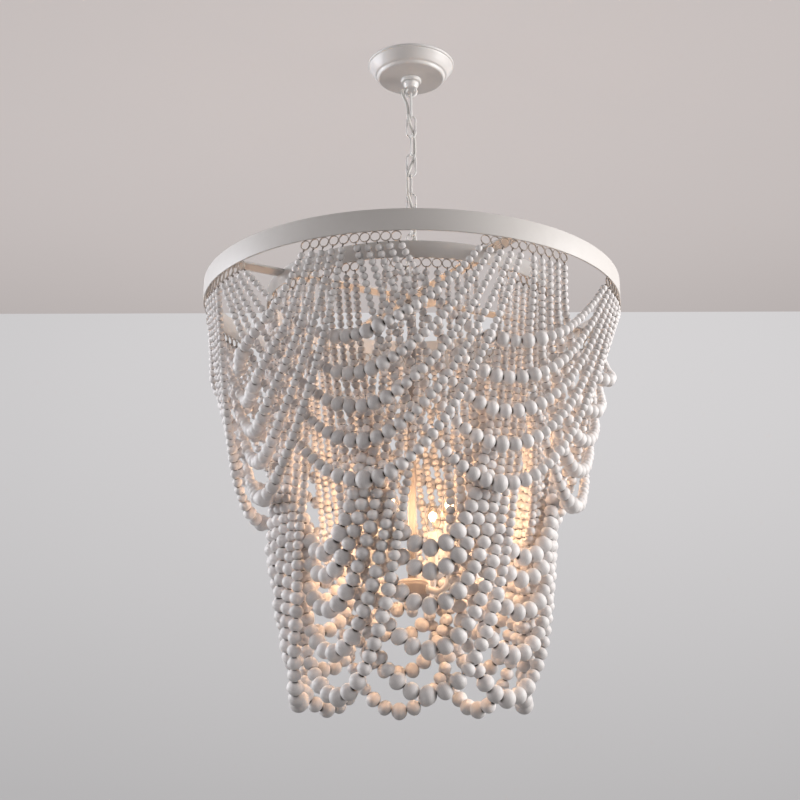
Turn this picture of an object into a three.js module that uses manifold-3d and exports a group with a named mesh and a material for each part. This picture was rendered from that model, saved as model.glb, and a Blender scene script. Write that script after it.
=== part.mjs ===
// Beaded chandelier: two white ring bands hung from a ceiling rose by a chain,
// dressed with two tiers of crossing bead strands, and four small lamps on arms inside.
// Millimetres, +Z up. The origin is on the ceiling, at the middle of the crossbar's flat top.

import * as THREE from 'three';
import Module from 'manifold-3d';
import { mergeVertices } from 'three/addons/utils/BufferGeometryUtils.js';

const wasm = await Module();
wasm.setup();

// Fits: the gap between pieces that touch, and how far a cutting tool runs past a face
const clearance = 0.3;
const overrun = 1;

// Ceiling fitting
const crossbarLength = 104;
const crossbarWidth = 18;
const crossbarThick = 2.5;
const crossbarScrewRadius = 2.2;
const crossbarScrewInset = 9;
const bossRadius = 9;
const bossDepth = 7;
const nippleRadius = 5;
const nippleWall = 1.6;
const nippleSlotWidth = 5.6;
const nippleSlotHeight = 8.2;
const locknutRadius = 8.5;
const locknutHeight = 3.6;
const terminalLength = 22;
const terminalWidth = 13;
const terminalHeight = 9;
const terminalOffset = 30;

// Canopy and its collar
const canopyRimRadius = 66.5;
const canopyRimHeight = 6;
const canopyFaceRadius = 49.5;
const canopyFaceHeight = 5.5;
const canopyHeight = 24.5;
const canopyWall = 1.3;
const canopyLedge = 5;
const collarRadius = 15.7;
const collarHeight = 6;

// Loop fittings at the two ends of the chain
const eyeRadius = 7.75;
const eyeWireRadius = 2.25;
const loopNeckRadius = 7;
const loopSocketDepth = 5;
const loopThreadGrip = 3.5;
const wirewayRadius = 3.2;
const wirewayLean = THREE.MathUtils.degToRad(60);
const hangBodyRadius = 11.7;
const hangNeckRadius = 9.2;
const hangBodyLength = 9.5;
const frameFlangeRadius = 17;
const frameFlangeThick = 3.5;
const frameBodyLength = 23.4;

// Chain: link lengths and widths are taken along the middle of the wire
const chainLinks = 8;
const linkWireRadius = 1.5;
const linkLength = 35.8;
const linkWidth = 13;
const topLinkWireRadius = 1.75;
const topLinkLength = 41.8;
const topLinkWidth = 14;

// Supply cable
const cableRadius = 2.2;
const cableSides = 8;
const cableSteps = 60;

// Ring frame. Bead strands hang in bays round it, and the inner ring's gap is how far inside the line
// between outer hook groups two bays apart it stands.
const bays = 8;
const outerRingRadius = 305;
const outerRingHeight = 30;
const innerRingGap = 2.5;
const innerRingHeight = 24;
const bandThick = 2.5;
const barWidth = 24;
const barThick = 3;
const barDepthBelowRim = 8;
const barTabHeight = 17;
const barTurn = THREE.MathUtils.degToRad(29.8);
const hubPlateRadius = 38;
const hubPlateThick = 3;
const stemNutRadius = 10.5;
const stemNutHeight = 5;

// Hook rings in rows of five under the bands, two rows to a group
const hooksPerRow = 5;
const hookRadius = 6.8;
const hookWall = 1.3;
const hookDepth = 3.4;
const hookRowGap = 0.6;

// Bead strands: drops are each strand's sag below its hook rings, bows are how far its middle leans out
const cordDiameter = 2;
const beadDiameter = 8.5;
const beadGap = 0.8;
const pushLimit = 2;
const pushRounds = 400;
const enough = 0.01;
const upperTier = {
  name: 'upper',
  turn: THREE.MathUtils.degToRad(-15.2),
  drops: [112, 157, 199, 242, 292],
  bows: [0, 0, 2, 4, 8],
  middleBead: 13.5,
  lowestBead: 18,
  lowestShare: 0.14,
  steps: 10,
};
const lowerTier = {
  name: 'lower',
  turn: THREE.MathUtils.degToRad(7.3),
  drops: [373, 402, 445, 500, 555],
  bows: [0, 0, 0, 0, 0],
  middleBead: 16,
  lowestBead: 22,
  lowestShare: 0.07,
  steps: 10,
};

// Lamp cluster
const stemRadius = 6.2;
const stemWall = 2;
const stemLength = 451;
const lampHubRadius = 24;
const lampHubHeight = 30;
const lampHubWall = 3;
const finialRadius = 9;
const finialHeight = 22;
const finialSpigotHeight = 6;
const lamps = 4;
const lampTurn = THREE.MathUtils.degToRad(60);
const lampReach = 60;
const armRadius = 4.6;
const armDip = 5;
const armRise = 24;
const panRadius = 17;
const panHeight = 7;
const panThick = 1.4;
const sleeveRadius = 7.8;
const sleeveWall = 1.1;
const sleeveLength = 66;
const bulbRadius = 12;
const bulbHeight = 47;
const bulbCapRadius = 5.8;
const bulbCapLength = 16;

// Facets
const smallSides = 12;
const lampSides = 10;
const canopySides = 24;
const ringSides = 48;
const linkSteps = 10;
const wireSides = 6;

// Colours
const steel = { color: 0x8d8f92, roughness: 0.4, metalness: 0.9 };
const whitePaint = { color: 0xe9e7e4, roughness: 0.45, metalness: 0 };
const beadPaint = { color: 0xdad8d6, roughness: 0.7, metalness: 0 };
const plastic = { color: 0xf3eee4, roughness: 0.4, metalness: 0 };
const bulbGlass = { color: 0xfff0d0, roughness: 0.1, metalness: 0 };

// The inner ring's radius, worked out from the outer one
const bayTurn = (2 * Math.PI) / bays;
const innerRingRadius = outerRingRadius * Math.cos(bayTurn) - innerRingGap;

// Heights, worked out from the ceiling down
const bossBottom = -crossbarThick - bossDepth;
const locknutTop = bossBottom - clearance;
const locknutBottom = locknutTop - locknutHeight;
const nippleTop = -crossbarThick - clearance;
const nippleSlotTop = locknutBottom - clearance;
const canopyFaceZ = -canopyHeight;
const collarTop = canopyFaceZ - clearance;
const collarBottom = collarTop - collarHeight;
const hangBase = collarBottom - clearance;
const nippleBottom = hangBase - loopThreadGrip;
const hangEyeZ = hangBase - hangBodyLength - eyeRadius + eyeWireRadius;
const topLinkHigh = hangEyeZ - eyeRadius + eyeWireRadius + clearance + topLinkWireRadius;
const topLinkLow = topLinkHigh - topLinkLength;
const firstLinkHigh = topLinkLow + topLinkWireRadius + clearance + linkWireRadius;
const linkPitch = linkLength - 2 * linkWireRadius - clearance;
const lastLinkLow = firstLinkHigh - (chainLinks - 1) * linkPitch - linkLength;
const frameEyeZ = lastLinkLow + linkWireRadius + clearance + eyeWireRadius - eyeRadius;
const frameBase = frameEyeZ - eyeRadius + eyeWireRadius - frameBodyLength;
const barTop = frameBase - clearance;
const barBottom = barTop - barThick;
const barMiddle = (barTop + barBottom) / 2;
const ringTop = barTop + barDepthBelowRim;
const ringBottom = ringTop - outerRingHeight;
const hubPlateTop = barBottom - clearance;
const hubPlateBottom = hubPlateTop - hubPlateThick;
const stemNutTop = hubPlateBottom - clearance;
const stemTop = frameBase + loopThreadGrip;
const stemBottom = stemTop - stemLength;
const lampHubTop = stemBottom - lampHubWall + lampHubHeight;
const lampHubBottom = lampHubTop - lampHubHeight;
const armZ = lampHubTop - lampHubHeight / 2;
const panZ = armZ + armRise;
const sleeveBottom = panZ + panThick + clearance;
const sleeveTop = sleeveBottom + sleeveLength;

const chandelier = new THREE.Group();

// Solids: booleans work on merged triangles, with the faces out

function solid(shape) {
  if (shape instanceof wasm.Manifold) {
    return shape;
  }
  const bare = shape.clone();
  bare.deleteAttribute('normal');
  bare.deleteAttribute('uv');
  const merged = mergeVertices(bare, clearance / 1000);
  const vertProperties = merged.attributes.position.array;
  const triVerts = new Uint32Array(merged.index.array);
  return new wasm.Manifold(new wasm.Mesh({ numProp: 3, vertProperties, triVerts }));
}

function join(...shapes) {
  return shapes.map(solid).reduce((whole, piece) => whole.add(piece));
}

function cut(shape, ...tools) {
  return tools.reduce((whole, tool) => whole.subtract(solid(tool)), solid(shape));
}

function geometryOf(body) {
  const { numVert, numProp, vertProperties, triVerts } = body.getMesh();
  const points = new Float32Array(numVert * 3);
  for (let vertex = 0; vertex < numVert; vertex += 1) {
    points.set(vertProperties.subarray(vertex * numProp, vertex * numProp + 3), vertex * 3);
  }
  const geometry = new THREE.BufferGeometry();
  geometry.setAttribute('position', new THREE.BufferAttribute(points, 3));
  geometry.setIndex(new THREE.BufferAttribute(new Uint32Array(triVerts), 1));
  geometry.computeVertexNormals();
  return geometry;
}

function place(name, shape, look, parent = chandelier) {
  const geometry = shape instanceof THREE.BufferGeometry ? shape : geometryOf(shape);
  const mesh = new THREE.Mesh(geometry, new THREE.MeshStandardMaterial(look));
  mesh.name = name;
  parent.add(mesh);
  return mesh;
}

// A profile of [radius, height] points turned about the upright axis
function turned(profile, sides) {
  const points = profile.map(([radius, height]) => new THREE.Vector2(radius, height));
  return new THREE.LatheGeometry(points, sides).rotateX(Math.PI / 2);
}

function rod(radius, bottom, top, sides = smallSides) {
  return turned([[0, bottom], [radius, bottom], [radius, top], [0, top]], sides);
}

function hoop(inner, outer, bottom, top, sides) {
  return turned([[inner, bottom], [outer, bottom], [outer, top], [inner, top], [inner, bottom]], sides);
}

function block(length, width, height, x, z) {
  return new THREE.BoxGeometry(length, width, height).translate(x, 0, z);
}

// The radius of a many-sided hole whose flats clear a rod
function boreFor(radius, sides = smallSides) {
  return (radius + clearance) / Math.cos(Math.PI / sides);
}

function nut(radius, bore, bottom, top) {
  return cut(rod(radius, bottom, top, 6), rod(boreFor(bore), bottom - overrun, top + overrun));
}

function tube(points, radius, sides, steps) {
  const section = new THREE.Shape();
  for (let side = 0; side < sides; side += 1) {
    const angle = ((side + 0.5) / sides) * 2 * Math.PI;
    const corner = [radius * Math.cos(angle), radius * Math.sin(angle)];
    if (side === 0) {
      section.moveTo(...corner);
    } else {
      section.lineTo(...corner);
    }
  }
  const route = new THREE.CatmullRomCurve3(points.map((point) => new THREE.Vector3(...point)), false, 'centripetal');
  return new THREE.ExtrudeGeometry(section, { steps, extrudePath: route });
}

// Ceiling fitting: crossbar with a threaded boss, nipple with a side slot for the cable, locknut

function crossbar() {
  const strip = block(crossbarLength, crossbarWidth, crossbarThick, 0, -crossbarThick / 2);
  const boss = rod(bossRadius, bossBottom, -crossbarThick / 2);
  const socket = rod(boreFor(nippleRadius), bossBottom - overrun, -crossbarThick);
  const screwHoles = [-1, 1].map((side) => {
    const hole = rod(crossbarScrewRadius, -crossbarThick - overrun, overrun);
    return hole.translate(side * (crossbarLength / 2 - crossbarScrewInset), 0, 0);
  });
  return cut(join(strip, boss), socket, ...screwHoles);
}

function nipple() {
  const pipe = hoop(nippleRadius - nippleWall, nippleRadius, nippleBottom, nippleTop, smallSides);
  const slotMiddle = nippleSlotTop - nippleSlotHeight / 2;
  return cut(pipe, block(2 * nippleRadius, nippleSlotWidth, nippleSlotHeight, -nippleRadius, slotMiddle));
}

function terminalBlock() {
  const middle = -crossbarThick - clearance - terminalHeight / 2;
  return block(terminalLength, terminalWidth, terminalHeight, -terminalOffset, middle);
}

// The rose: a rim against the ceiling, an ogee, a ledge and a flat face
function canopy() {
  const bore = boreFor(nippleRadius);
  const ledgeRadius = canopyFaceRadius + canopyLedge;
  const ledgeZ = canopyFaceZ + canopyFaceHeight;
  return turned([
    [bore, canopyFaceZ],
    [canopyFaceRadius - canopyWall, canopyFaceZ],
    [canopyFaceRadius, canopyFaceZ + canopyWall],
    [canopyFaceRadius, ledgeZ],
    [ledgeRadius, ledgeZ + canopyWall],
    [ledgeRadius + canopyLedge, -canopyRimHeight - canopyWall],
    [canopyRimRadius, -canopyRimHeight],
    [canopyRimRadius, -clearance],
    [canopyRimRadius - canopyWall, -clearance],
    [canopyRimRadius - canopyWall, canopyWall - canopyRimHeight],
    [ledgeRadius + canopyLedge - canopyWall, -canopyRimHeight],
    [ledgeRadius - canopyWall, ledgeZ + 2 * canopyWall],
    [canopyFaceRadius - canopyWall, ledgeZ + canopyWall],
    [canopyFaceRadius - canopyWall, canopyFaceZ + canopyWall],
    [bore, canopyFaceZ + canopyWall],
    [bore, canopyFaceZ],
  ], canopySides);
}

place('ceiling_crossbar', crossbar(), steel);
place('threaded_nipple', nipple(), steel);
place('nipple_locknut', nut(locknutRadius, nippleRadius, locknutBottom, locknutTop), steel);
place('terminal_block', terminalBlock(), plastic);
place('canopy', canopy(), whitePaint);
place('canopy_collar', hoop(boreFor(nippleRadius), collarRadius, collarBottom, collarTop, smallSides), whitePaint);

// Loop fittings: a turned body with a threaded socket in its base, an eye below,
// and a wireway from the socket out through the side. Drawn with the base up at zero.

function loopFitting(profile, bodyLength, threadRadius) {
  const eye = new THREE.TorusGeometry(eyeRadius, eyeWireRadius, wireSides, smallSides);
  eye.rotateX(Math.PI / 2).translate(0, 0, -bodyLength - eyeRadius + eyeWireRadius);
  const socket = rod(boreFor(threadRadius), -loopSocketDepth, overrun);
  const well = rod(wirewayRadius, -loopSocketDepth - wirewayRadius, -loopSocketDepth + overrun);
  const wireway = rod(wirewayRadius, -bodyLength - frameFlangeRadius, 0).rotateY(wirewayLean);
  return cut(join(turned(profile, smallSides), eye), socket, well, wireway.translate(0, 0, -loopSocketDepth));
}

function hangLoop() {
  const profile = [
    [0, 0],
    [hangBodyRadius, 0],
    [hangBodyRadius, -hangBodyLength / 2],
    [hangNeckRadius, -hangBodyLength],
    [0, -hangBodyLength],
  ];
  return loopFitting(profile.reverse(), hangBodyLength, nippleRadius);
}

function frameLoop() {
  const profile = [
    [0, 0],
    [frameFlangeRadius, 0],
    [frameFlangeRadius, -frameFlangeThick],
    [loopNeckRadius + frameFlangeThick, -2 * frameFlangeThick],
    [loopNeckRadius, -frameBodyLength],
    [0, -frameBodyLength],
  ];
  return loopFitting(profile.reverse(), frameBodyLength, stemRadius);
}

place('hang_loop', hangLoop(), whitePaint).position.set(0, 0, hangBase);
const upturned = place('frame_loop', frameLoop(), whitePaint);
upturned.rotation.set(Math.PI, 0, 0);
upturned.position.set(0, 0, frameBase);

// Chain: a round wire bent to a ring with straight sides, each link a quarter turn from the last

function link(length, width, wireRadius) {
  const ring = new THREE.TorusGeometry(width / 2, wireRadius, wireSides, linkSteps).rotateZ(Math.PI / 2);
  const places = ring.attributes.position;
  for (let vertex = 0; vertex < places.count; vertex += 1) {
    const stretch = (Math.sign(places.getY(vertex)) * (length - width)) / 2;
    places.setY(vertex, places.getY(vertex) + stretch);
  }
  return ring.rotateX(Math.PI / 2);
}

function hangLink(name, shape, high, low, quarterTurned) {
  const mesh = place(name, shape, whitePaint);
  mesh.position.set(0, 0, (high + low) / 2);
  mesh.rotation.set(0, 0, quarterTurned ? Math.PI / 2 : 0);
}

hangLink('top_link', link(topLinkLength, topLinkWidth, topLinkWireRadius), topLinkHigh, topLinkLow, true);
for (let index = 0; index < chainLinks; index += 1) {
  const high = firstLinkHigh - index * linkPitch;
  const shape = link(linkLength, linkWidth, linkWireRadius);
  hangLink(`chain_link_${index + 1}`, shape, high, high - linkLength, index % 2 === 1);
}

// Supply cable: out of the terminal block, in through the nipple's slot, out of the hang loop's wireway,
// through every second link, and in through the frame loop's wireway to the stem

const cableRoute = [
  [-18.65, 0, -7.3],
  [-16.8, 0, -7.4],
  [-13.2, 0, -10],
  [-11.9, 0, -13.6],
  [-8, 0, -17],
  [-3, 0, -18.2],
  [0.3, 0, -22],
  [0.2, 0, -28],
  [0.2, 0, -34],
  [-1.6, 0, -37.6],
  [-5.4, 0, -39.6],
  [-9.6, 0, -41.6],
  [-13.2, -0.6, -45],
  [-13, -2, -51],
  [-10, -3.8, -60],
  [-6.5, -5, -71],
  [-4.9, -5.2, -80],
  [-4.7, -4.9, -89.6],
  [0, 0, -105.7],
  [4.7, 4.9, -121.9],
  [5.5, 7, -138.2],
  [4.7, 4.9, -154.4],
  [0, 0, -170.7],
  [-4.7, -4.9, -186.9],
  [-5.5, -7, -203.2],
  [-4.7, -4.9, -219.4],
  [0, 0, -235.7],
  [4.7, 4.9, -251.9],
  [5.5, 7, -268.2],
  [4.7, 4.9, -284.4],
  [0, 0, -300.7],
  [-4.7, -4.9, -316.9],
  [-6, -6.4, -333],
  [-8.6, -5.6, -349],
  [-12.8, -2.4, -359],
  [-13.2, -0.4, -367],
  [-9.4, 0, -373.4],
  [-5.2, 0, -375.8],
  [-1.6, 0, -378],
  [0, 0, -382],
  [0, 0, -388],
  [0, 0, -402],
];
place('supply_cable', tube(cableRoute, cableRadius, cableSides, cableSteps), plastic);

// Ring frame: two hoops of flat strip on two flat bars, which cross with a half notch in each

const slotWidth = barWidth + 2 * clearance;
const slotHeight = barThick + 2 * clearance;
const barReach = Math.sqrt(
  ((outerRingRadius - bandThick) * Math.cos(Math.PI / ringSides) - clearance) ** 2 - (barWidth / 2) ** 2,
);

function innerRing() {
  const band = hoop(innerRingRadius - bandThick, innerRingRadius, ringBottom, ringBottom + innerRingHeight, ringSides);
  const slots = [barTurn, barTurn + Math.PI / 2].map((turn) => {
    return block(2 * outerRingRadius, slotWidth, slotHeight, 0, barMiddle).rotateZ(turn);
  });
  return cut(band, ...slots);
}

// A bar with its ends turned down against the outer ring, notched at the crossing from above or below
function crossBar(notchFace) {
  const tabs = [-1, 1].map((side) => {
    return block(barThick, barWidth, barTabHeight, side * (barReach - barThick / 2), barTop - barTabHeight / 2);
  });
  const notch = block(slotWidth, barWidth + overrun, barThick + clearance, 0, notchFace);
  const hole = rod(boreFor(stemRadius), barBottom - overrun, barTop + overrun);
  return cut(join(block(2 * barReach, barWidth, barThick, 0, barMiddle), ...tabs), notch, hole);
}

place('outer_ring', hoop(outerRingRadius - bandThick, outerRingRadius, ringBottom, ringTop, ringSides), whitePaint);
place('inner_ring', innerRing(), whitePaint);
place('cross_bar_over', crossBar(barBottom), whitePaint).rotation.z = barTurn;
place('cross_bar_under', crossBar(barTop), whitePaint).rotation.z = barTurn + Math.PI / 2;
place('hub_plate', hoop(boreFor(stemRadius), hubPlateRadius, hubPlateBottom, hubPlateTop, smallSides), whitePaint);
place('stem_nut', nut(stemNutRadius, stemRadius, stemNutTop - stemNutHeight, stemNutTop), steel);

// Bead strands. A bay is centred under one group of ten hook rings, and its five strands hang
// from the near rows of the two groups beside it, so every strand crosses those of the next bays.

const hookPitch = 2 * hookRadius;
const hookZ = ringBottom - clearance - hookRadius;
const hookBore = ((hookRadius - hookWall) * Math.sqrt(Math.PI)) / 2;
const strandTop = hookZ - (hookRadius + hookBore) / 2;

// How far round from the bay's middle a strand's hook ring is
function hookAngle(radius, strand) {
  return bayTurn - (hookRowGap / 2 + (hooksPerRow - 0.5 - strand) * hookPitch) / radius;
}

// Five slices of tube side by side, with square bores as large as the round ones
function hookRow() {
  const length = hooksPerRow * hookPitch;
  const bores = [];
  for (let hook = 0; hook < hooksPerRow; hook += 1) {
    const middle = (hook + 0.5) * hookPitch - length / 2;
    bores.push(block(2 * hookBore, hookDepth + overrun, 2 * hookBore, middle, hookZ));
  }
  return geometryOf(cut(block(length, hookDepth, 2 * hookRadius, 0, hookZ), ...bores));
}

// The catenary number k of a sag, in half spans: (cosh k - 1) / k = sag
function catenaryNumber(sag) {
  let low = 1e-4;
  let high = 16;
  for (let turn = 0; turn < 60; turn += 1) {
    const middle = (low + high) / 2;
    if ((Math.cosh(middle) - 1) / middle > sag) {
      high = middle;
    } else {
      low = middle;
    }
  }
  return low;
}

// Where a catenary is bent, from -1 to 1 across its span: evenly in its length and its turning together
function bendShares(k, steps) {
  const measure = (share) => {
    const slope = Math.sinh(k * share);
    const steepest = Math.sinh(k);
    return slope / steepest + Math.atan(slope) / Math.atan(steepest);
  };
  const shares = [];
  for (let step = 0; step <= steps; step += 1) {
    const target = (4 * step) / steps - 2;
    let low = -1;
    let high = 1;
    for (let turn = 0; turn < 50; turn += 1) {
      const middle = (low + high) / 2;
      if (measure(middle) > target) {
        high = middle;
      } else {
        low = middle;
      }
    }
    shares.push((low + high) / 2);
  }
  return shares;
}

// One strand's bends: place along the chord between its hooks, place out from the axis, height, width.
// The first and last stretch is one bead long, with the cord's width at the hook ring.
function strandCourse(tier, radius, strand) {
  const angle = hookAngle(radius, strand);
  const half = radius * Math.sin(angle);
  const drop = tier.drops[strand];
  const k = catenaryNumber(drop / half);
  const firstBead = Math.acosh(Math.cosh(k) - (k * beadDiameter) / half) / k;
  const beaded = bendShares(k, tier.steps).map((share) => share * firstBead);
  return [-1, ...beaded, 1].map((share) => {
    const downShare = 1 - Math.abs(Math.sinh(k * share) / Math.sinh(k));
    const grown = beadDiameter + (tier.middleBead - beadDiameter) * downShare;
    const beads = downShare > 1 - tier.lowestShare ? tier.lowestBead : grown;
    return {
      along: half * share,
      out: radius * Math.cos(angle) + tier.bows[strand] * (1 - share * share) ** 2,
      z: strandTop - drop + (half * (Math.cosh(k * share) - 1)) / k,
      width: downShare > 0 ? beads : cordDiameter,
    };
  });
}

function stretches(course, turn) {
  const up = new THREE.Vector3(0, 0, 1);
  const places = course.map((bend) => new THREE.Vector3(bend.along, -bend.out, bend.z).applyAxisAngle(up, turn));
  return places.slice(1).map((end, step) => new THREE.Line3(places[step], end));
}

// Where two strands lack the most room for their beads
function tightest(one, other, turn) {
  let worst = null;
  const here = new THREE.Vector3();
  const there = new THREE.Vector3();
  const others = stretches(other, turn);
  stretches(one, 0).forEach((stretch, step) => {
    others.forEach((otherStretch, otherStep) => {
      const away = Math.sqrt(stretch.distanceSqToLine3(otherStretch, here, there));
      const share = here.distanceTo(stretch.start) / stretch.distance();
      const otherShare = there.distanceTo(otherStretch.start) / otherStretch.distance();
      const width = THREE.MathUtils.lerp(one[step].width, one[step + 1].width, share);
      const otherWidth = THREE.MathUtils.lerp(other[otherStep].width, other[otherStep + 1].width, otherShare);
      const lack = (width + otherWidth) / 2 + beadGap - away;
      if (worst === null || lack > worst.lack) {
        const outward = Math.hypot(here.x, here.y) - Math.hypot(there.x, there.y);
        worst = { lack, step, share, otherStep, otherShare, outward };
      }
    });
  });
  return worst;
}

// Moves the place at a share of a stretch by the amount, by moving the bends at both its ends
function push(course, step, share, amount) {
  const whole = share ** 2 + (1 - share) ** 2;
  if (step > 0) {
    course[step].out += (amount * (1 - share)) / whole;
  }
  if (step + 1 < course.length - 1) {
    course[step + 1].out += (amount * share) / whole;
  }
}

// Each pair of strands that can cross, and how far round the other one's bay is from the first one's.
// Side 1 puts the first one outside, and side 0 leaves it to where they first meet: a strand goes
// outside its own right-hand copy, and the upper tier outside the lower one.
function crossings(upper, lower) {
  const pairs = [];
  for (const courses of [upper, lower]) {
    courses.forEach((one, place) => {
      courses.forEach((other, otherPlace) => {
        if (place < otherPlace) {
          pairs.push({ one, other, turn: 0, side: 1 });
        }
        pairs.push({ one, other, turn: bayTurn, side: place === otherPlace ? 1 : 0 });
      });
    });
  }
  for (let bay = -bays / 4; bay < bays / 4; bay += 1) {
    const turn = lowerTier.turn - upperTier.turn + bay * bayTurn;
    upper.forEach((one) => lower.forEach((other) => pairs.push({ one, other, turn, side: 1 })));
  }
  return pairs;
}

// Strands that cross are pushed apart, one out and one in, until their beads clear each other
function settle(upper, lower) {
  const pairs = crossings(upper, lower);
  let worst = beadGap;
  for (let round = 0; round < pushRounds && worst > enough; round += 1) {
    worst = 0;
    for (const pair of pairs) {
      const meeting = tightest(pair.one, pair.other, pair.turn);
      if (meeting.lack > 0) {
        worst = Math.max(worst, meeting.lack);
        pair.side ||= meeting.outward > 0 ? 1 : -1;
        const amount = (pair.side * Math.min(meeting.lack, pushLimit)) / 2;
        push(pair.one, meeting.step, meeting.share, amount);
        push(pair.other, meeting.otherStep, meeting.otherShare, -amount);
      }
    }
  }
}

// A square-sectioned tube through a strand's bends, its corners as far apart as its beads are wide
function strandTube(course) {
  const sides = 4;
  const last = course.length - 1;
  const places = course.map((bend) => new THREE.Vector3(bend.along, -bend.out, bend.z));
  const corners = [];
  const faces = [];
  course.forEach((bend, step) => {
    const run = places[Math.min(step + 1, last)].clone().sub(places[Math.max(step - 1, 0)]).normalize();
    const across = new THREE.Vector3(0, 1, 0).cross(run).normalize();
    const inward = run.clone().cross(across);
    for (let side = 0; side < sides; side += 1) {
      const angle = ((side + 0.5) / sides) * 2 * Math.PI;
      const corner = places[step].clone();
      corner.addScaledVector(across, (bend.width / 2) * Math.cos(angle));
      corner.addScaledVector(inward, (bend.width / 2) * Math.sin(angle));
      corners.push(corner.x, corner.y, corner.z);
      if (step > 0) {
        const here = step * sides + side;
        const next = step * sides + ((side + 1) % sides);
        faces.push(here - sides, next - sides, next, here - sides, next, here);
      }
    }
  });
  const end = last * sides;
  faces.push(0, 2, 1, 0, 3, 2, end, end + 1, end + 2, end, end + 2, end + 3);
  const geometry = new THREE.BufferGeometry();
  geometry.setAttribute('position', new THREE.Float32BufferAttribute(corners, 3));
  geometry.setIndex(faces);
  return geometry;
}

function bay(radius, courses) {
  const rowTurn = hookAngle(radius, (hooksPerRow - 1) / 2);
  const rowSag = radius * (1 - Math.cos(rowTurn - hookAngle(radius, 0)));
  const rows = [-rowTurn, rowTurn].map((turn) => hookRow().translate(0, rowSag / 2 - radius, 0).rotateZ(turn));
  return join(...rows, ...courses.map(strandTube));
}

function hangTier(tier, radius, courses) {
  const shape = bay(radius, courses);
  for (let index = 0; index < bays; index += 1) {
    place(`${tier.name}_strands_${index + 1}`, shape, beadPaint).rotation.z = tier.turn + index * bayTurn;
  }
}

const upperRadius = outerRingRadius - bandThick / 2;
const lowerRadius = innerRingRadius - bandThick / 2;
const upperCourses = upperTier.drops.map((drop, strand) => strandCourse(upperTier, upperRadius, strand));
const lowerCourses = lowerTier.drops.map((drop, strand) => strandCourse(lowerTier, lowerRadius, strand));
settle(upperCourses, lowerCourses);
hangTier(upperTier, upperRadius, upperCourses);
hangTier(lowerTier, lowerRadius, lowerCourses);

// Lamp cluster: a hollow hub on the stem, with four arms that carry candle lamps

const lampAngle = (lamp) => lampTurn + (lamp * 2 * Math.PI) / lamps;

function lampHub() {
  const inner = lampHubRadius - lampHubWall;
  const bore = boreFor(stemRadius);
  const shell = turned([
    [bore, lampHubBottom],
    [inner - lampHubWall, lampHubBottom],
    [lampHubRadius, lampHubBottom + 2 * lampHubWall],
    [lampHubRadius, lampHubTop - lampHubWall],
    [inner, lampHubTop],
    [bore, lampHubTop],
    [bore, lampHubTop - lampHubWall],
    [inner, lampHubTop - lampHubWall],
    [inner, lampHubBottom + 2 * lampHubWall],
    [inner - lampHubWall, lampHubBottom + lampHubWall],
    [bore, lampHubBottom + lampHubWall],
    [bore, lampHubBottom],
  ], smallSides);
  const holes = [];
  for (let lamp = 0; lamp < lamps; lamp += 1) {
    const hole = rod(boreFor(armRadius, wireSides), 0, lampHubRadius + overrun, wireSides).rotateX(Math.PI / 2);
    holes.push(hole.translate(0, 0, armZ).rotateZ(lampAngle(lamp)));
  }
  return cut(shell, ...holes);
}

function arm() {
  const start = lampHubRadius - lampHubWall;
  return tube([
    [0, -start, armZ],
    [0, -lampHubRadius - clearance, armZ],
    [0, -(lampHubRadius + lampReach) / 2, armZ - armDip],
    [0, -lampReach + armDip, armZ + armDip / 2],
    [0, -lampReach, panZ - armDip],
    [0, -lampReach, panZ - clearance],
  ], armRadius, wireSides, 8);
}

function dripPan() {
  const seat = boreFor(sleeveRadius, lampSides);
  return turned([
    [0, panZ],
    [seat, panZ],
    [panRadius, panZ + panHeight - panThick],
    [panRadius, panZ + panHeight],
    [seat, panZ + panThick],
    [0, panZ + panThick],
  ], lampSides).translate(0, -lampReach, 0);
}

function sleeve() {
  return hoop(sleeveRadius - sleeveWall, sleeveRadius, sleeveBottom, sleeveTop, lampSides).translate(0, -lampReach, 0);
}

function bulb() {
  const swellShare = 0.32;
  const taperShares = [[0.86, 0.55], [0.42, 0.82]];
  return turned([
    [0, sleeveTop - bulbCapLength],
    [bulbCapRadius, sleeveTop - bulbCapLength],
    [bulbCapRadius, sleeveTop + clearance],
    [bulbRadius, sleeveTop + bulbHeight * swellShare],
    ...taperShares.map(([width, height]) => [bulbRadius * width, sleeveTop + bulbHeight * height]),
    [0, sleeveTop + bulbHeight],
  ], lampSides).translate(0, -lampReach, 0);
}

// A drop-shaped knob on a spigot that screws into the stem's end
function finial() {
  const top = lampHubBottom - clearance;
  const spigotRadius = stemRadius - stemWall - clearance;
  const waistShares = [0.55, 0.25];
  const bellyShares = [0.9, 0.55];
  return turned([
    [0, top - finialHeight],
    [finialRadius * bellyShares[0], top - finialHeight * bellyShares[1]],
    [finialRadius * waistShares[0], top - finialHeight * waistShares[1]],
    [finialRadius, top],
    [spigotRadius, top],
    [spigotRadius, top + finialSpigotHeight],
    [0, top + finialSpigotHeight],
  ], smallSides);
}

place('stem', hoop(stemRadius - stemWall, stemRadius, stemBottom, stemTop, smallSides), whitePaint);
place('lamp_hub', lampHub(), whitePaint);
place('finial', finial(), whitePaint);
for (let lamp = 0; lamp < lamps; lamp += 1) {
  const group = new THREE.Group();
  group.rotation.z = lampAngle(lamp);
  place(`lamp_arm_${lamp + 1}`, arm(), whitePaint, group);
  place(`drip_pan_${lamp + 1}`, dripPan(), whitePaint, group);
  place(`candle_sleeve_${lamp + 1}`, sleeve(), plastic, group);
  place(`bulb_${lamp + 1}`, bulb(), bulbGlass, group);
  chandelier.add(group);
}

export default chandelier;
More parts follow.
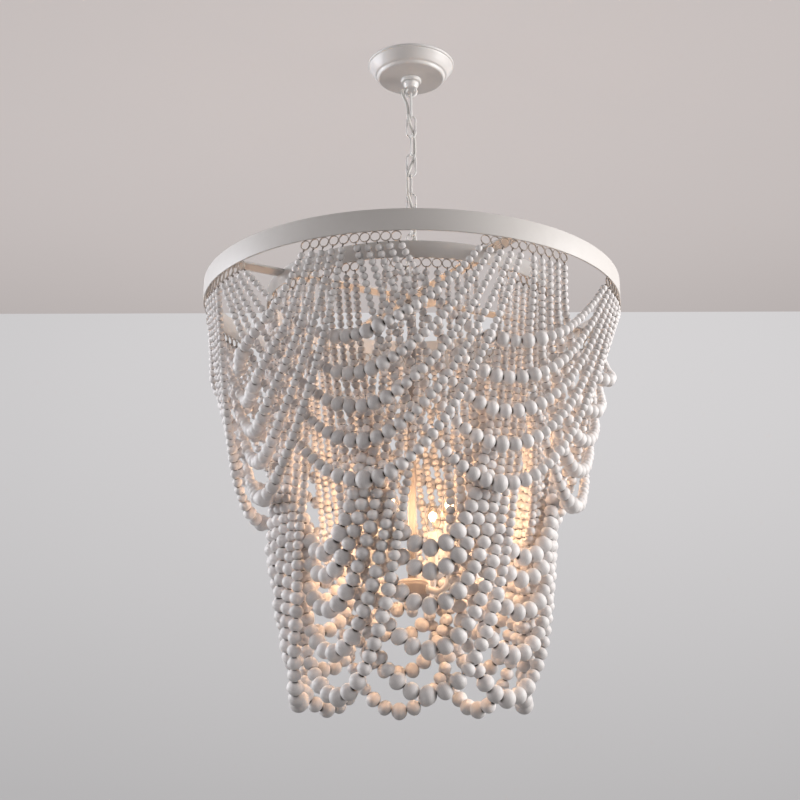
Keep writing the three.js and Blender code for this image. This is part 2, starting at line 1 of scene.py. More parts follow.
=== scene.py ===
"""Beaded chandelier: the looks of every piece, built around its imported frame.

Metres, +Z up, with the origin on the ceiling on the chandelier's own axis. The object's sizes are
written in millimetres times MM, and the room's in metres. A place in a strand bay is (along, out,
height): along the chord between the bay's two groups of hook rings, out from the axis, and up.
"""

import math

import bmesh
import bpy
import numpy as np
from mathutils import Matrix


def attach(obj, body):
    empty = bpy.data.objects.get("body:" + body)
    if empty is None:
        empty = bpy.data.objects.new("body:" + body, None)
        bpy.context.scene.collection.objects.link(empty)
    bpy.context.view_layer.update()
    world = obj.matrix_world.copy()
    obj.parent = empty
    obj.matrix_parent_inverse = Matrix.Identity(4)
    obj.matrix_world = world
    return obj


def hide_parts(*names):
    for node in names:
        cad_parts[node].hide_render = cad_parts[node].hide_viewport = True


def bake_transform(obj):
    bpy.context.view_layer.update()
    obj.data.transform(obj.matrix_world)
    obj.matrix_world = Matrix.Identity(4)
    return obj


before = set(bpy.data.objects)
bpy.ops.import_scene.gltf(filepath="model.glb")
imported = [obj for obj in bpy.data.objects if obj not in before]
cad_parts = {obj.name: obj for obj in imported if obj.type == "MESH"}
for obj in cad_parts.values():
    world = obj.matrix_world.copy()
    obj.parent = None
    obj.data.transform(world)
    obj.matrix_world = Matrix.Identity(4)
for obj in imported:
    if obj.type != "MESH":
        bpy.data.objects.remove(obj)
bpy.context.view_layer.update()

MM = 0.001
TURN = 2 * math.pi
merge_reach = MM / 500


def place_in_scene(name, data):
    holder = bpy.data.objects.new(name, data)
    bpy.context.scene.collection.objects.link(holder)
    return holder


# Camera: it looks up at the chandelier from below the ring's height
camera_place = (0.0, -1961 * MM, -1112 * MM)
camera_tilt = 0.2827
camera_yaw = math.radians(0.5)
camera_lens = 63.4


def add_camera():
    camera = bpy.data.cameras.new("camera")
    camera.lens = camera_lens
    holder = place_in_scene("camera", camera)
    holder.location = camera_place
    holder.rotation_euler = (math.pi / 2 + camera_tilt, 0.0, camera_yaw)
    bpy.context.scene.camera = holder


add_camera()

# Meshes from grids of points


def grid_faces(rows, columns, close_rows=False):
    """Quads between neighbouring rows and columns of a grid of points. The columns go all the way
    round, and the rows too where asked."""
    row = np.arange(rows if close_rows else rows - 1)[:, None]
    column = np.arange(columns)[None, :]
    here, below = row * columns, (row + 1) % rows * columns
    beside = (column + 1) % columns
    corners = (here + column, here + beside, below + beside, below + column)
    return np.stack(np.broadcast_arrays(*corners), -1).reshape(-1, 4)


def gathered(parts):
    """Several (points, faces) as one."""
    points, faces, start = [], [], 0
    for part_points, part_faces in parts:
        part_points = part_points.reshape(-1, 3)
        points.append(part_points)
        faces.append(part_faces + start)
        start += len(part_points)
    return np.concatenate(points), np.concatenate(faces)


def make_mesh(name, points, faces):
    mesh = bpy.data.meshes.new(name)
    points = np.ascontiguousarray(points.reshape(-1, 3), np.float32)
    mesh.vertices.add(len(points))
    mesh.vertices.foreach_set("co", points.ravel())
    mesh.loops.add(faces.size)
    mesh.loops.foreach_set("vertex_index", faces.astype(np.int32).ravel())
    mesh.polygons.add(len(faces))
    mesh.polygons.foreach_set("loop_start", np.arange(0, faces.size, faces.shape[1], dtype=np.int32))
    mesh.update(calc_edges=True)
    return mesh


def close_mesh(mesh):
    """Merges the points that meet at poles and turns every face outwards."""
    work = bmesh.new()
    work.from_mesh(mesh)
    bmesh.ops.remove_doubles(work, verts=work.verts, dist=merge_reach)
    bmesh.ops.recalc_face_normals(work, faces=work.faces)
    work.to_mesh(mesh)
    work.free()


def sharpen(mesh, degrees):
    """Smooth shading, with the edges that turn by more than this left sharp."""
    mesh.polygons.foreach_set("use_smooth", np.ones(len(mesh.polygons), bool))
    mesh.set_sharp_from_angle(angle=math.radians(degrees))


def add_piece(name, mesh, material, slot, *nodes, body="hanging_frame"):
    """Puts a mesh in the scene as a piece of the object, on a body, in place of CAD nodes."""
    mesh.materials.append(material)
    piece = place_in_scene(name, mesh)
    if nodes:
        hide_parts(*nodes)
    if body:
        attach(piece, body)
    return piece


def solid_piece(name, parts, material, slot, *nodes, body="hanging_frame", degrees=35):
    mesh = make_mesh(name, *gathered(parts))
    close_mesh(mesh)
    sharpen(mesh, degrees)
    return add_piece(name, mesh, material, slot, *nodes, body=body)


def spin(turn):
    """Points times this matrix are turned about the chandelier's axis, anticlockwise from above."""
    return np.array([[math.cos(turn), math.sin(turn), 0], [-math.sin(turn), math.cos(turn), 0], [0, 0, 1]])


def unit(vectors):
    """The same directions, each with a length of 1."""
    return vectors / np.linalg.norm(vectors, axis=-1, keepdims=True)


def distance_along(path):
    """How far along a path each of its points is."""
    return np.concatenate([[0], np.cumsum(np.linalg.norm(np.diff(path, axis=0), axis=1))])


def along_path(path, reach, stops):
    """A path's places at given distances along it, with reach the distance of each of its points."""
    return np.stack([np.interp(stops, reach, path[:, axis]) for axis in range(3)], -1)


def softened(corners, reach, steps=4, closed=False):
    """A polyline with each corner rounded: a quadratic curve from the point that lies reach before
    the corner to the one reach after it, pulled towards the corner. It takes up at most 0.45 of a side."""
    most = 0.45
    corners = np.asarray(corners, float)
    before = np.roll(corners, 1, axis=0)
    after = np.roll(corners, -1, axis=0)
    run_in = np.linalg.norm(before - corners, axis=1)[:, None]
    run_out = np.linalg.norm(after - corners, axis=1)[:, None]
    start = corners + (before - corners) * np.minimum(reach / run_in, most)
    end = corners + (after - corners) * np.minimum(reach / run_out, most)
    t = np.linspace(0, 1, steps)[None, :, None]
    curve = (1 - t) ** 2 * start[:, None] + 2 * t * (1 - t) * corners[:, None] + t**2 * end[:, None]
    if closed:
        return curve.reshape(-1, corners.shape[1])
    inner = curve[1:-1].reshape(-1, corners.shape[1])
    return np.concatenate([corners[:1], inner, corners[-1:]])


def turned(profile, segments, closed=False, centre=(0.0, 0.0)):
    """A profile of (radius, height) turned about an upright axis: x = r sin a, y = -r cos a."""
    profile = np.asarray(profile, float)
    angle = np.arange(segments) * TURN / segments
    radius, height = profile[:, :1], profile[:, 1:]
    x = centre[0] + radius * np.sin(angle)
    y = centre[1] - radius * np.cos(angle)
    points = np.stack(np.broadcast_arrays(x, y, height + 0 * angle), -1)
    return points, grid_faces(len(profile), segments, close_rows=closed)


def turned_piece(name, outline, ease, steps, segments, material, slot, node, closed=False,
                 centre=(0.0, 0.0), body="hanging_frame"):
    """A piece turned from an outline in millimetres with its corners rounded. A closed outline is a
    ring's section, and an open one starts and ends on the axis."""
    profile = softened(MM * np.array(outline), ease * MM, steps)
    solid_piece(name, [turned(profile, segments, closed, centre)], material, slot, node, body=body)


def tube_rings(path, radius, sides=12, reference=(0.0, 1.0, 0.0), closed=False):
    """Rings of points round a path: each point is the path's place plus radius times
    (n cos a + m sin a), with n the reference laid square to the path and m square to both."""
    path = np.asarray(path, float)
    if closed:
        run = unit(np.roll(path, -1, axis=0) - np.roll(path, 1, axis=0))
    else:
        run = unit(np.gradient(path, axis=0))
    reference = np.asarray(reference, float)
    beside = unit(reference - (run @ reference)[:, None] * run)
    across = np.cross(run, beside)
    angle = np.arange(sides)[None, :, None] * TURN / sides
    ring = beside[:, None] * np.cos(angle) + across[:, None] * np.sin(angle)
    return path[:, None] + np.broadcast_to(radius, len(path))[:, None, None] * ring


def capped(rings):
    """A tube closed by a fan at each end: the first and last ring's middle point, repeated."""
    middles = rings[[0, -1]].mean(1, keepdims=True) + 0 * rings[[0, -1]]
    points = np.concatenate([middles[:1], rings, middles[1:]])
    return points, grid_faces(len(points), rings.shape[1])


def tube(path, radius, sides=12, reference=(0.0, 1.0, 0.0), closed=False):
    """A round tube along a path, its ends joined or capped."""
    rings = tube_rings(path, radius, sides, reference, closed)
    return (rings, grid_faces(len(rings), sides, close_rows=True)) if closed else capped(rings)


def smooth_route(points, per_span):
    """A centripetal Catmull-Rom curve through given points: between two of them it is the
    blend of three straight lines, each timed by the square root of the distance between points."""
    points = np.asarray(points, float)
    ends = (2 * points[0] - points[1], 2 * points[-1] - points[-2])
    padded = np.concatenate([ends[:1], points, ends[1:]])
    knots = np.concatenate([[0], np.cumsum(np.sqrt(np.linalg.norm(np.diff(padded, axis=0), axis=1)))])
    a, b, c, d = (padded[i:len(padded) - 3 + i, None] for i in range(4))
    ta, tb, tc, td = (knots[i:len(knots) - 3 + i, None, None] for i in range(4))
    t = tb + (tc - tb) * (np.arange(per_span) / per_span)[None, :, None]
    one = (tb - t) / (tb - ta) * a + (t - ta) / (tb - ta) * b
    two = (tc - t) / (tc - tb) * b + (t - tb) / (tc - tb) * c
    three = (td - t) / (td - tc) * c + (t - tc) / (td - tc) * d
    left = (tc - t) / (tc - ta) * one + (t - ta) / (tc - ta) * two
    right = (td - t) / (td - tb) * two + (t - tb) / (td - tb) * three
    curve = (tc - t) / (tc - tb) * left + (t - tb) / (tc - tb) * right
    return np.concatenate([curve.reshape(-1, points.shape[1]), points[-1:]])


# Node groups: effects that several finishes share


class Wiring:
    """Adds nodes to a tree and joins them, each with its settings and inputs by name."""

    def __init__(self, tree):
        self.tree = tree

    def add(self, kind, settings=None, **inputs):
        node = self.tree.nodes.new("ShaderNode" + kind if not kind.startswith("NodeGroup") else kind)
        for key, value in (settings or {}).items():
            setattr(node, key, value)
        for key, value in inputs.items():
            self.feed(node.inputs[int(key[1:]) if key[1:].isdigit() else key.replace("_", " ")], value)
        return node

    def feed(self, socket, value):
        if isinstance(value, bpy.types.NodeSocket):
            self.tree.links.new(value, socket)
        else:
            socket.default_value = value

    def math(self, operation, first, second=0.0, third=0.0):
        return self.add("Math", {"operation": operation}, i0=first, i1=second, i2=third).outputs[0]

    def times(self, first, second, more=None):
        """first times second, plus more."""
        if more is None:
            return self.math("MULTIPLY", first, second)
        return self.math("MULTIPLY_ADD", first, second, more)

    def vector(self, operation, first, **inputs):
        return self.add("VectorMath", {"operation": operation}, i0=first, **inputs).outputs[0]

    def ramp(self, value, low, high, to_low=0.0, to_high=1.0):
        """to_low below low, to_high above high, and a smooth step between them."""
        return self.add("MapRange", {"interpolation_type": "SMOOTHSTEP"}, Value=value, From_Min=low,
                        From_Max=high, To_Min=to_low, To_Max=to_high).outputs["Result"]

    def noise(self, scale, detail=2.0, roughness=0.5):
        place = self.add("TexCoord").outputs["Object"]
        node = self.add("TexNoise", Vector=place, Scale=scale, Detail=detail, Roughness=roughness)
        return node.outputs["Fac"]

    def blend(self, share, first, second):
        return self.add("Mix", {"data_type": "RGBA"}, i0=share, i6=first, i7=second).outputs[2]

    def mix(self, share, first, second):
        """The first shader where the share is 0, and the second where it is 1."""
        return self.add("MixShader", i0=share, i1=first.outputs[0], i2=second.outputs[0])

    def seen(self):
        """1 for a ray from the camera, whether straight, mirrored or through glass."""
        rays = self.add("LightPath").outputs
        mirrored = self.math("MAXIMUM", rays["Is Camera Ray"], rays["Is Glossy Ray"])
        return self.math("MAXIMUM", mirrored, rays["Is Transmission Ray"])

    def group(self, group, **inputs):
        return self.add("Group", {"node_tree": group}, **inputs).outputs


def linear(colour):
    """An sRGB colour of 0 to 255 as the shader's linear colour."""
    shares = np.array(colour) / 255
    return (*np.where(shares <= 0.04045, shares / 12.92, ((shares + 0.055) / 1.055) ** 2.4).tolist(), 1.0)


def new_group(name, **inputs):
    """A node group with these inputs, and a colour, a roughness and a height as its outputs."""
    group = bpy.data.node_groups.new(name, "ShaderNodeTree")
    for title, value in inputs.items():
        kind = "NodeSocketFloat" if isinstance(value, float) else "NodeSocketColor"
        socket = group.interface.new_socket(name=title.replace("_", " "), in_out="INPUT", socket_type=kind)
        socket.default_value = value
    for title, kind in (("Color", "Color"), ("Roughness", "Float"), ("Height", "Float")):
        group.interface.new_socket(name=title, in_out="OUTPUT", socket_type="NodeSocket" + kind)
    wiring = Wiring(group)
    return group, wiring, wiring.add("NodeGroupInput").outputs


def paint_drift_group():
    """Colour that drifts a little over the surface, with a faint film of dust in soft patches."""
    group, wiring, given = new_group(
        "paint_drift", Color=(0.8, 0.8, 0.8, 1.0), Dust=(0.5, 0.45, 0.4, 1.0), Spread=0.05, Dustiness=0.1,
        Patch_Scale=20.0)
    broad = wiring.noise(given["Patch Scale"], 3.0)
    fine = wiring.noise(wiring.times(given["Patch Scale"], 9.0), 4.0, roughness=0.6)
    tone = wiring.times(wiring.math("SUBTRACT", broad, 0.5), wiring.times(given["Spread"], 2.0), 1.0)
    shaded = wiring.vector("SCALE", given["Color"], Scale=tone)
    patches = wiring.math("ADD", broad, wiring.times(fine, 0.35))
    film = wiring.times(wiring.ramp(patches, 0.55, 0.95), given["Dustiness"])
    wiring.add("NodeGroupOutput", Color=wiring.blend(film, shaded, given["Dust"]),
               Roughness=wiring.times(fine, 0.14, -0.07), Height=fine)
    return group


def bead_paint_group():
    """Chalky paint on a turned bead: each bead's own tone, faint rings from the lathe round its axis,
    worn lips where it rubs its neighbours, darkened over a broad band as painted shade where beads meet,
    and bare wood in its bore, painted dark as the shade inside the hole."""
    group, wiring, given = new_group(
        "bead_paint", Paint=(0.7, 0.7, 0.7, 1.0), Wood=(0.2, 0.13, 0.08, 1.0), Tone_Spread=1.0,
        Ring_Count=13.0, Wear=0.5)
    wrap = wiring.add("UVMap", {"uv_map": "wrap"}).outputs[0]
    along_bore = wiring.add("SeparateXYZ", Vector=wrap).outputs[1]
    tone = wiring.add("Attribute", {"attribute_name": "tone"}).outputs["Fac"]
    mottle = wiring.noise(260.0, 3.0)
    grit = wiring.noise(1500.0, 2.0)
    wobble = wiring.times(mottle, 0.12, along_bore)
    rings = wiring.math("SINE", wiring.times(wiring.times(wobble, given["Ring Count"]), TURN))
    lip = wiring.math("ABSOLUTE", wiring.math("SUBTRACT", along_bore, 0.5))
    # Painted shade: the lips are darkened towards the wood colour over a broad band, for the shade where
    # beads meet as well as their wear
    wear_and_painted_shade = wiring.times(wiring.ramp(wiring.times(mottle, 0.06, lip), 0.44, 0.53), given["Wear"])
    # Painted shade: the bore's faces take the dark wood colour, bare wood painted dark as the shade inside
    # the hole
    bore = wiring.math("GREATER_THAN", lip, 0.4975)
    spread = wiring.times(given["Tone Spread"], 0.3)
    level = wiring.times(wiring.math("SUBTRACT", tone, 0.5), spread, 1.0)
    level = wiring.times(wiring.math("SUBTRACT", mottle, 0.5), 0.14, level)
    level = wiring.times(rings, 0.022, level)
    paint = wiring.vector("SCALE", given["Paint"], Scale=level)
    rubbed_and_shaded = wiring.blend(wear_and_painted_shade, paint, given["Wood"])
    wiring.add("NodeGroupOutput", Color=wiring.blend(bore, rubbed_and_shaded, given["Wood"]),
               Roughness=wiring.times(mottle, 0.16, wiring.times(wear_and_painted_shade, 0.12)),
               Height=wiring.times(rings, 0.35, wiring.times(grit, 0.6)))
    return group


paint_drift = paint_drift_group()
bead_paint = bead_paint_group()


def new_material(name):
    material = bpy.data.materials.new(name)
    material.use_nodes = True
    material.node_tree.nodes.clear()
    return material, Wiring(material.node_tree)


def finish_with(wiring, shader):
    wiring.add("OutputMaterial", Surface=shader.outputs[0])


def skinned(name, group, roughness, bump, depth, look, **given):
    """A finish whose colour, roughness and relief come from a node group."""
    material, wiring = new_material(name)
    skin = wiring.group(group, **given)
    rough = wiring.math("ADD", skin["Roughness"], roughness)
    relief = wiring.add("Bump", Strength=bump, Distance=depth, Height=skin["Height"]).outputs[0]
    finish_with(wiring, wiring.add(
        "BsdfPrincipled", Base_Color=skin["Color"], Roughness=rough, Normal=relief, **look))
    return material


def coated(name, colour, dust, spread, dustiness, patch, roughness, bump, metallic=0.0, coat=0.0):
    """A painted, plated or moulded finish: drifting colour, a film of dust and a fine skin of its own."""
    return skinned(
        name, paint_drift, roughness, bump, 0.4 * MM,
        {"Metallic": metallic, "Coat_Weight": coat, "Coat_Roughness": 0.3},
        Color=linear(colour), Dust=linear(dust), Spread=spread, Dustiness=dustiness, Patch_Scale=patch)


def glass_material():
    """Thin clear lamp glass: a light ray towards a lamp passes straight through it."""
    material, wiring = new_material("clear_lamp_glass")
    haze = wiring.times(wiring.noise(90.0, 3.0), 0.05, 0.02)
    glass = wiring.add("BsdfPrincipled", Base_Color=(1.0, 0.97, 0.92, 1.0), Roughness=haze,
                       Transmission_Weight=1.0, IOR=1.07)
    clear = wiring.add("BsdfTransparent", Color=(1.0, 0.98, 0.95, 1.0))
    shadow = wiring.add("LightPath").outputs["Is Shadow Ray"]
    finish_with(wiring, wiring.mix(shadow, glass, clear))
    return material


def glow_material(name, colour, strength):
    """Hot wire, a little brighter in some places along it than in others."""
    material, wiring = new_material(name)
    heat = wiring.ramp(wiring.noise(300.0, 2.0), 0.2, 0.8, 0.75, 1.0)
    warm = wiring.vector("SCALE", linear(colour)[:3], Scale=heat)
    finish_with(wiring, wiring.add(
        "BsdfPrincipled", Base_Color=(0.9, 0.6, 0.3, 1.0), Emission_Color=warm, Roughness=0.5,
        Emission_Strength=strength))
    return material


white_enamel = coated("white_enamel", (228, 225, 223), (150, 140, 130), 0.03, 0.10, 9.0, 0.42, 0.06,
                      coat=0.15)
stem_enamel = coated("stem_enamel", (138, 132, 130), (110, 102, 96), 0.03, 0.12, 9.0, 0.5, 0.08)
hub_enamel = coated("hub_enamel", (180, 170, 163), (130, 118, 108), 0.03, 0.12, 9.0, 0.5, 0.08)
band_enamel = coated("band_enamel", (218, 213, 209), (150, 138, 126), 0.035, 0.12, 7.0, 0.5, 0.08)
chain_enamel = coated("chain_enamel", (236, 234, 232), (140, 130, 122), 0.04, 0.2, 40.0, 0.36, 0.1,
                      coat=0.2)
cable_sheath = coated("cable_sheath", (222, 219, 214), (150, 142, 132), 0.03, 0.15, 30.0, 0.45, 0.05)
socket_plastic = coated("socket_plastic", (236, 230, 218), (150, 135, 115), 0.03, 0.08, 25.0, 0.38, 0.05)
zinc_plate = coated("zinc_plate", (176, 178, 182), (110, 100, 90), 0.12, 0.2, 60.0, 0.34, 0.15,
                    metallic=1.0)
# Painted shade: the hook rings' enamel is a darker, browner copy of the bands' white, for the shade inside
# the rings
ring_enamel_with_painted_shade = coated("ring_enamel_with_painted_shade", (186, 174, 164), (96, 80, 68), 0.14, 0.3, 90.0, 0.42, 0.2,
                     metallic=0.15)
strand_wire = coated("strand_wire", (120, 108, 100), (64, 56, 50), 0.15, 0.2, 80.0, 0.5, 0.2,
                     metallic=0.2)
cap_brass = coated("cap_brass", (212, 176, 112), (120, 90, 60), 0.1, 0.2, 70.0, 0.3, 0.1, metallic=1.0)
# The beads' wear and wood colours also paint shade: dark lips where the beads meet, and dark bores
chalk_bead = skinned(
    "chalk_bead", bead_paint, 0.42, 0.4, 0.15 * MM, {"Specular_IOR_Level": 0.45},
    Paint=linear((232, 227, 225)), Wood=linear((84, 68, 60)), Tone_Spread=0.6, Ring_Count=11.0, Wear=0.65)
lamp_glass = glass_material()
hot_wire = glow_material("hot_wire", (255, 200, 130), 24.0)

# Supply cable: the route's points lie in the middle of the sheath

cable_radius = 2.2 * MM
cable_route = MM * np.array([
    [-18.65, 0, -7.3], [-16.8, 0, -7.4], [-13.2, 0, -10], [-11.9, 0, -13.6], [-8, 0, -17],
    [-3, 0, -18.2], [0.3, 0, -22], [0.2, 0, -28], [0.2, 0, -34], [-1.6, 0, -37.6], [-5.4, 0, -39.6],
    [-9.6, 0, -41.6], [-13.2, -0.6, -45], [-13, -2, -51], [-10, -3.8, -60], [-6.5, -5, -71],
    [-4.9, -5.2, -80], [-4.7, -4.9, -89.6], [0, 0, -105.7], [4.7, 4.9, -121.9], [5.5, 7, -138.2],
    [4.7, 4.9, -154.4], [0, 0, -170.7], [-4.7, -4.9, -186.9], [-5.5, -7, -203.2], [-4.7, -4.9, -219.4],
    [0, 0, -235.7], [4.7, 4.9, -251.9], [5.5, 7, -268.2], [4.7, 4.9, -284.4], [0, 0, -300.7],
    [-4.7, -4.9, -316.9], [-6, -6.4, -333], [-8.6, -5.6, -349], [-12.8, -2.4, -359], [-13.2, -0.4, -367],
    [-9.4, 0, -373.4], [-5.2, 0, -375.8], [-1.6, 0, -378], [0, 0, -382], [0, 0, -388], [0, 0, -402],
])

LINKS = 8
chain_links = [f"chain_link_{link + 1}" for link in range(LINKS)]
top_link_high, top_link_low = -49.55 * MM, -91.35 * MM
link_high, link_length, link_pitch = -87.8 * MM, 35.8 * MM, 32.5 * MM
link_lows = [link_high - link_length - link * link_pitch for link in range(LINKS)]
hinge_heights = [-53.85 * MM, top_link_low, *link_lows]


def add_cable():
    """The cable as one stretch per hinge, cut where it passes the middle of a link."""
    path = smooth_route(cable_route, 8)
    rings = tube_rings(path, cable_radius)
    cuts = [(high + low) / 2 for high, low in zip(hinge_heights[:-1], hinge_heights[1:])]
    places = [0] + [int(np.abs(path[:, 2] - cut).argmin()) for cut in cuts] + [len(path) - 1]
    for hinge, height in enumerate(hinge_heights):
        name, stretch = f"cable_stretch_{hinge + 1}", capped(rings[places[hinge]:places[hinge + 1] + 1])
        piece = solid_piece(name, [stretch], cable_sheath, "white_pvc", "supply_cable", body=None)
        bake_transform(piece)


add_cable()

# Ceiling fitting and chain


def finish_kept(material, *nodes):
    """Gives a finish to CAD nodes that keep their own shape."""
    for node in nodes:
        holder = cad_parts[node]
        holder.data.materials.clear()
        holder.data.materials.append(material)


def add_canopy():
    """A spun shell: a thin rim, a wide shoulder and a bead round the flat face, and an inner profile
    that follows the outer one a wall's thickness behind."""
    wall = 1.3 * MM
    outer = MM * np.array([
        [5.6, -24.5], [49.5, -24.5], [51.2, -22.8], [52.4, -19.4], [55.2, -18.4], [58.6, -13.8],
        [61.8, -8.6], [64.0, -5.2], [64.4, -3.8], [66.5, -3.2], [66.5, -0.3],
    ])
    behind = np.full((len(outer), 2), [-wall, wall])
    behind[0, 0] = behind[-1, 1] = 0
    outline = np.concatenate([softened(outer, 1.5 * MM, 6), softened(outer + behind, 1.2 * MM, 5)[::-1]])
    solid_piece("canopy_shell", [turned(outline, 128, closed=True)], white_enamel, "white_enamel", "canopy",
                body="ceiling_fitting", degrees=50)


def add_collar():
    """A turned washer nut with a rounded edge and a groove round its middle."""
    turned_piece("canopy_collar_nut", [
        [5.4, -24.8], [15.2, -24.8], [15.7, -25.6], [15.7, -27.2], [15.1, -27.7], [15.7, -28.2],
        [15.7, -29.6], [14.6, -30.8], [5.4, -30.8],
    ], 0.5, 3, 64, chain_enamel, "white_enamel", "canopy_collar", closed=True, body="ceiling_fitting")


def bored(mesh, start, end, radius):
    """A copy of a closed mesh with a round hole cut through it from start to end."""
    drill_mesh = make_mesh("drill", *tube([start, end], radius, 24))
    close_mesh(drill_mesh)
    drill = place_in_scene("drill", drill_mesh)
    blank = place_in_scene("blank", mesh)
    cut = blank.modifiers.new("hole", "BOOLEAN")
    cut.object = drill
    cut.solver = "EXACT"
    cut.use_self = True
    graph = bpy.context.evaluated_depsgraph_get()
    result = bpy.data.meshes.new_from_object(blank.evaluated_get(graph))
    for holder in (blank, drill):
        bpy.data.objects.remove(holder)
    bpy.data.meshes.remove(drill_mesh)
    return result


def loop_fitting(name, profile, eye_height, wireway, node, body):
    """A turned body with an eye of round wire at its end, a circle in the plane of X and Z, and a
    slanting hole for the cable. Sizes are in millimetres."""
    eye_radius, eye_wire, wireway_radius = 7.75 * MM, 2.25 * MM, 3.0 * MM
    angle = np.arange(48) * TURN / 48
    eye = eye_radius * np.stack([np.cos(angle), 0 * angle, np.sin(angle)], -1) + [0, 0, eye_height * MM]
    body_shape = turned(softened(MM * np.array(profile), 1.2 * MM, 4), 64)
    mesh = make_mesh(name, *gathered([body_shape, tube(eye, eye_wire, 16, closed=True)]))
    close_mesh(mesh)
    mesh = bored(mesh, *(MM * np.array(wireway)), wireway_radius)
    sharpen(mesh, 40)
    add_piece(name, mesh, chain_enamel, "white_enamel", node, body=body)


def add_loops():
    loop_fitting(
        "hang_loop_body",
        [[0, -31.1], [10.9, -31.1], [11.7, -31.9], [11.7, -35.4], [9.9, -38.4], [9.2, -40.6], [0, -42.0]],
        -46.1, ((-1.5, 0, -37.0), (-24, 0, -50.0)), "hang_loop", "ceiling_fitting",
    )
    loop_fitting(
        "frame_loop_body",
        [[0, -383.7], [17, -383.7], [17, -380.4], [10.6, -377.4], [8.6, -371.0], [7.2, -363.0],
         [6.6, -360.3], [0, -358.6]],
        -354.8, ((-1.5, 0, -377.8), (-24, 0, -364.8)), "frame_loop", "hanging_frame",
    )


def add_link(name, high, length, width, wire, quarter_turned, body, node):
    """A bent wire link. The wire's middle is a circle of the link's width, its halves drawn apart to
    the length, with points at even spacing. The wire narrows to a fine seam where its two ends meet,
    half way up one side."""
    spacing, seam_reach, seam_depth = 0.7 * MM, 0.45 * MM, 0.14
    middle = high - length / 2
    angle = (np.arange(72) + 0.5) * TURN / 72
    across, flat = width / 2 * np.cos(angle), 0 * angle
    along = width / 2 * np.sin(angle) + np.sign(np.sin(angle)) * (length - width) / 2
    outline = (flat, across, along) if quarter_turned else (across, flat, along)
    outline = np.stack(outline, -1) + [0, 0, middle]
    outline = np.concatenate([outline, outline[:1]])
    reach = distance_along(outline)
    count = int(reach[-1] / spacing)
    path = along_path(outline, reach, np.arange(count) * reach[-1] / count)
    side = path[:, 1] if quarter_turned else path[:, 0]
    seam = np.exp(-(((path[:, 2] - middle) / seam_reach) ** 2)) * (side > 0)
    reference = (1.0, 0.0, 0.0) if quarter_turned else (0.0, 1.0, 0.0)
    shape = tube(path, wire * (1 - seam_depth * seam), 12, reference, closed=True)
    solid_piece(name, [shape], chain_enamel, "white_enamel", node, body=body)


def add_chain():
    add_link("top_link_wire", top_link_high, top_link_high - top_link_low, 14 * MM, 1.75 * MM, True,
             "top_link", "top_link")
    for link, name in enumerate(chain_links):
        high = link_high - link * link_pitch
        add_link(name + "_wire", high, link_length, 13 * MM, 1.5 * MM, link % 2 == 1, name, name)


add_canopy()
add_collar()
add_loops()
add_chain()
finish_kept(zinc_plate, "ceiling_crossbar", "threaded_nipple", "nipple_locknut", "stem_nut")
finish_kept(socket_plastic, "terminal_block")

# Ring frame

band_thick = 2.5 * MM
outer_radius = 305 * MM
inner_radius = outer_radius * math.cos(TURN / 8) - band_thick
ring_bottom = -406 * MM
outer_top, inner_top = -376 * MM, -382 * MM
bar_top, bar_bottom = -384 * MM, -387 * MM
bar_width = 24 * MM
bar_turn = math.radians(29.8)
frame_gap = 0.3 * MM


def band_outline(radius, high):
    """A strip's section from its inner face to its outer one, with each edge eased."""
    inside = radius - band_thick
    corners = [[inside, ring_bottom], [radius, ring_bottom], [radius, high], [inside, high]]
    return softened(corners, 0.7 * MM, 4, closed=True)


def add_outer_band():
    band = turned(band_outline(outer_radius, outer_top), 256, closed=True)
    solid_piece("outer_band", [band], band_enamel, "white_enamel", "outer_ring", degrees=60)


def add_inner_band():
    """The inner strip, with a slot for each end of the two bars: the grid of the whole strip turned
    about the axis, its rows at the slots' heights left out between the slots' two sides."""
    slot_low, slot_high = bar_bottom - frame_gap, bar_top + frame_gap
    half_slot = math.asin((bar_width / 2 + frame_gap) / inner_radius)
    per_span = 56
    quarter = np.concatenate([np.linspace(half_slot, TURN / 4 - half_slot, per_span),
                              TURN / 4 + np.linspace(-half_slot, half_slot, 10)[1:-1]])
    angle = bar_turn + TURN / 4 + (np.arange(4)[:, None] * TURN / 4 + quarter[None]).ravel()
    outline = band_outline(inner_radius, inner_top)
    outer_rows = [[inner_radius, slot_low], [inner_radius, slot_high]]
    inner_rows = [[inner_radius - band_thick, slot_high], [inner_radius - band_thick, slot_low]]
    profile = np.concatenate([outline[:8], outer_rows, outline[8:], inner_rows])
    rows, columns = len(profile), len(angle)
    points = np.stack(np.broadcast_arrays(
        profile[:, :1] * np.cos(angle), profile[:, :1] * np.sin(angle), profile[:, 1:] + 0 * angle), -1)
    faces = grid_faces(rows, columns, close_rows=True)
    outer_row, inner_row = 8, rows - 2
    step = np.arange(columns)
    in_slot = step % len(quarter) >= per_span - 1
    cut = np.zeros((rows, columns), bool)
    cut[[outer_row, inner_row]] = in_slot
    # The slot's own walls join the outer face's rim to the inner one
    here = step[in_slot]
    beside = (here + 1) % columns
    walls = []
    for low, high in ((outer_row, rows - 1), (outer_row + 1, inner_row)):
        low, high = low * columns, high * columns
        walls.append(np.stack([low + here, low + beside, high + beside, high + here], -1))
    ends = step[np.isin(step % len(quarter), (0, per_span - 1))]
    corner_rows = (outer_row, outer_row + 1, inner_row, rows - 1)
    walls.append(np.stack([row * columns + ends for row in corner_rows], -1))
    mesh = make_mesh("inner_band", points, np.concatenate([faces[~cut.ravel()]] + walls))
    close_mesh(mesh)
    sharpen(mesh, 60)
    add_piece("inner_band", mesh, band_enamel, "white_enamel", "inner_ring")


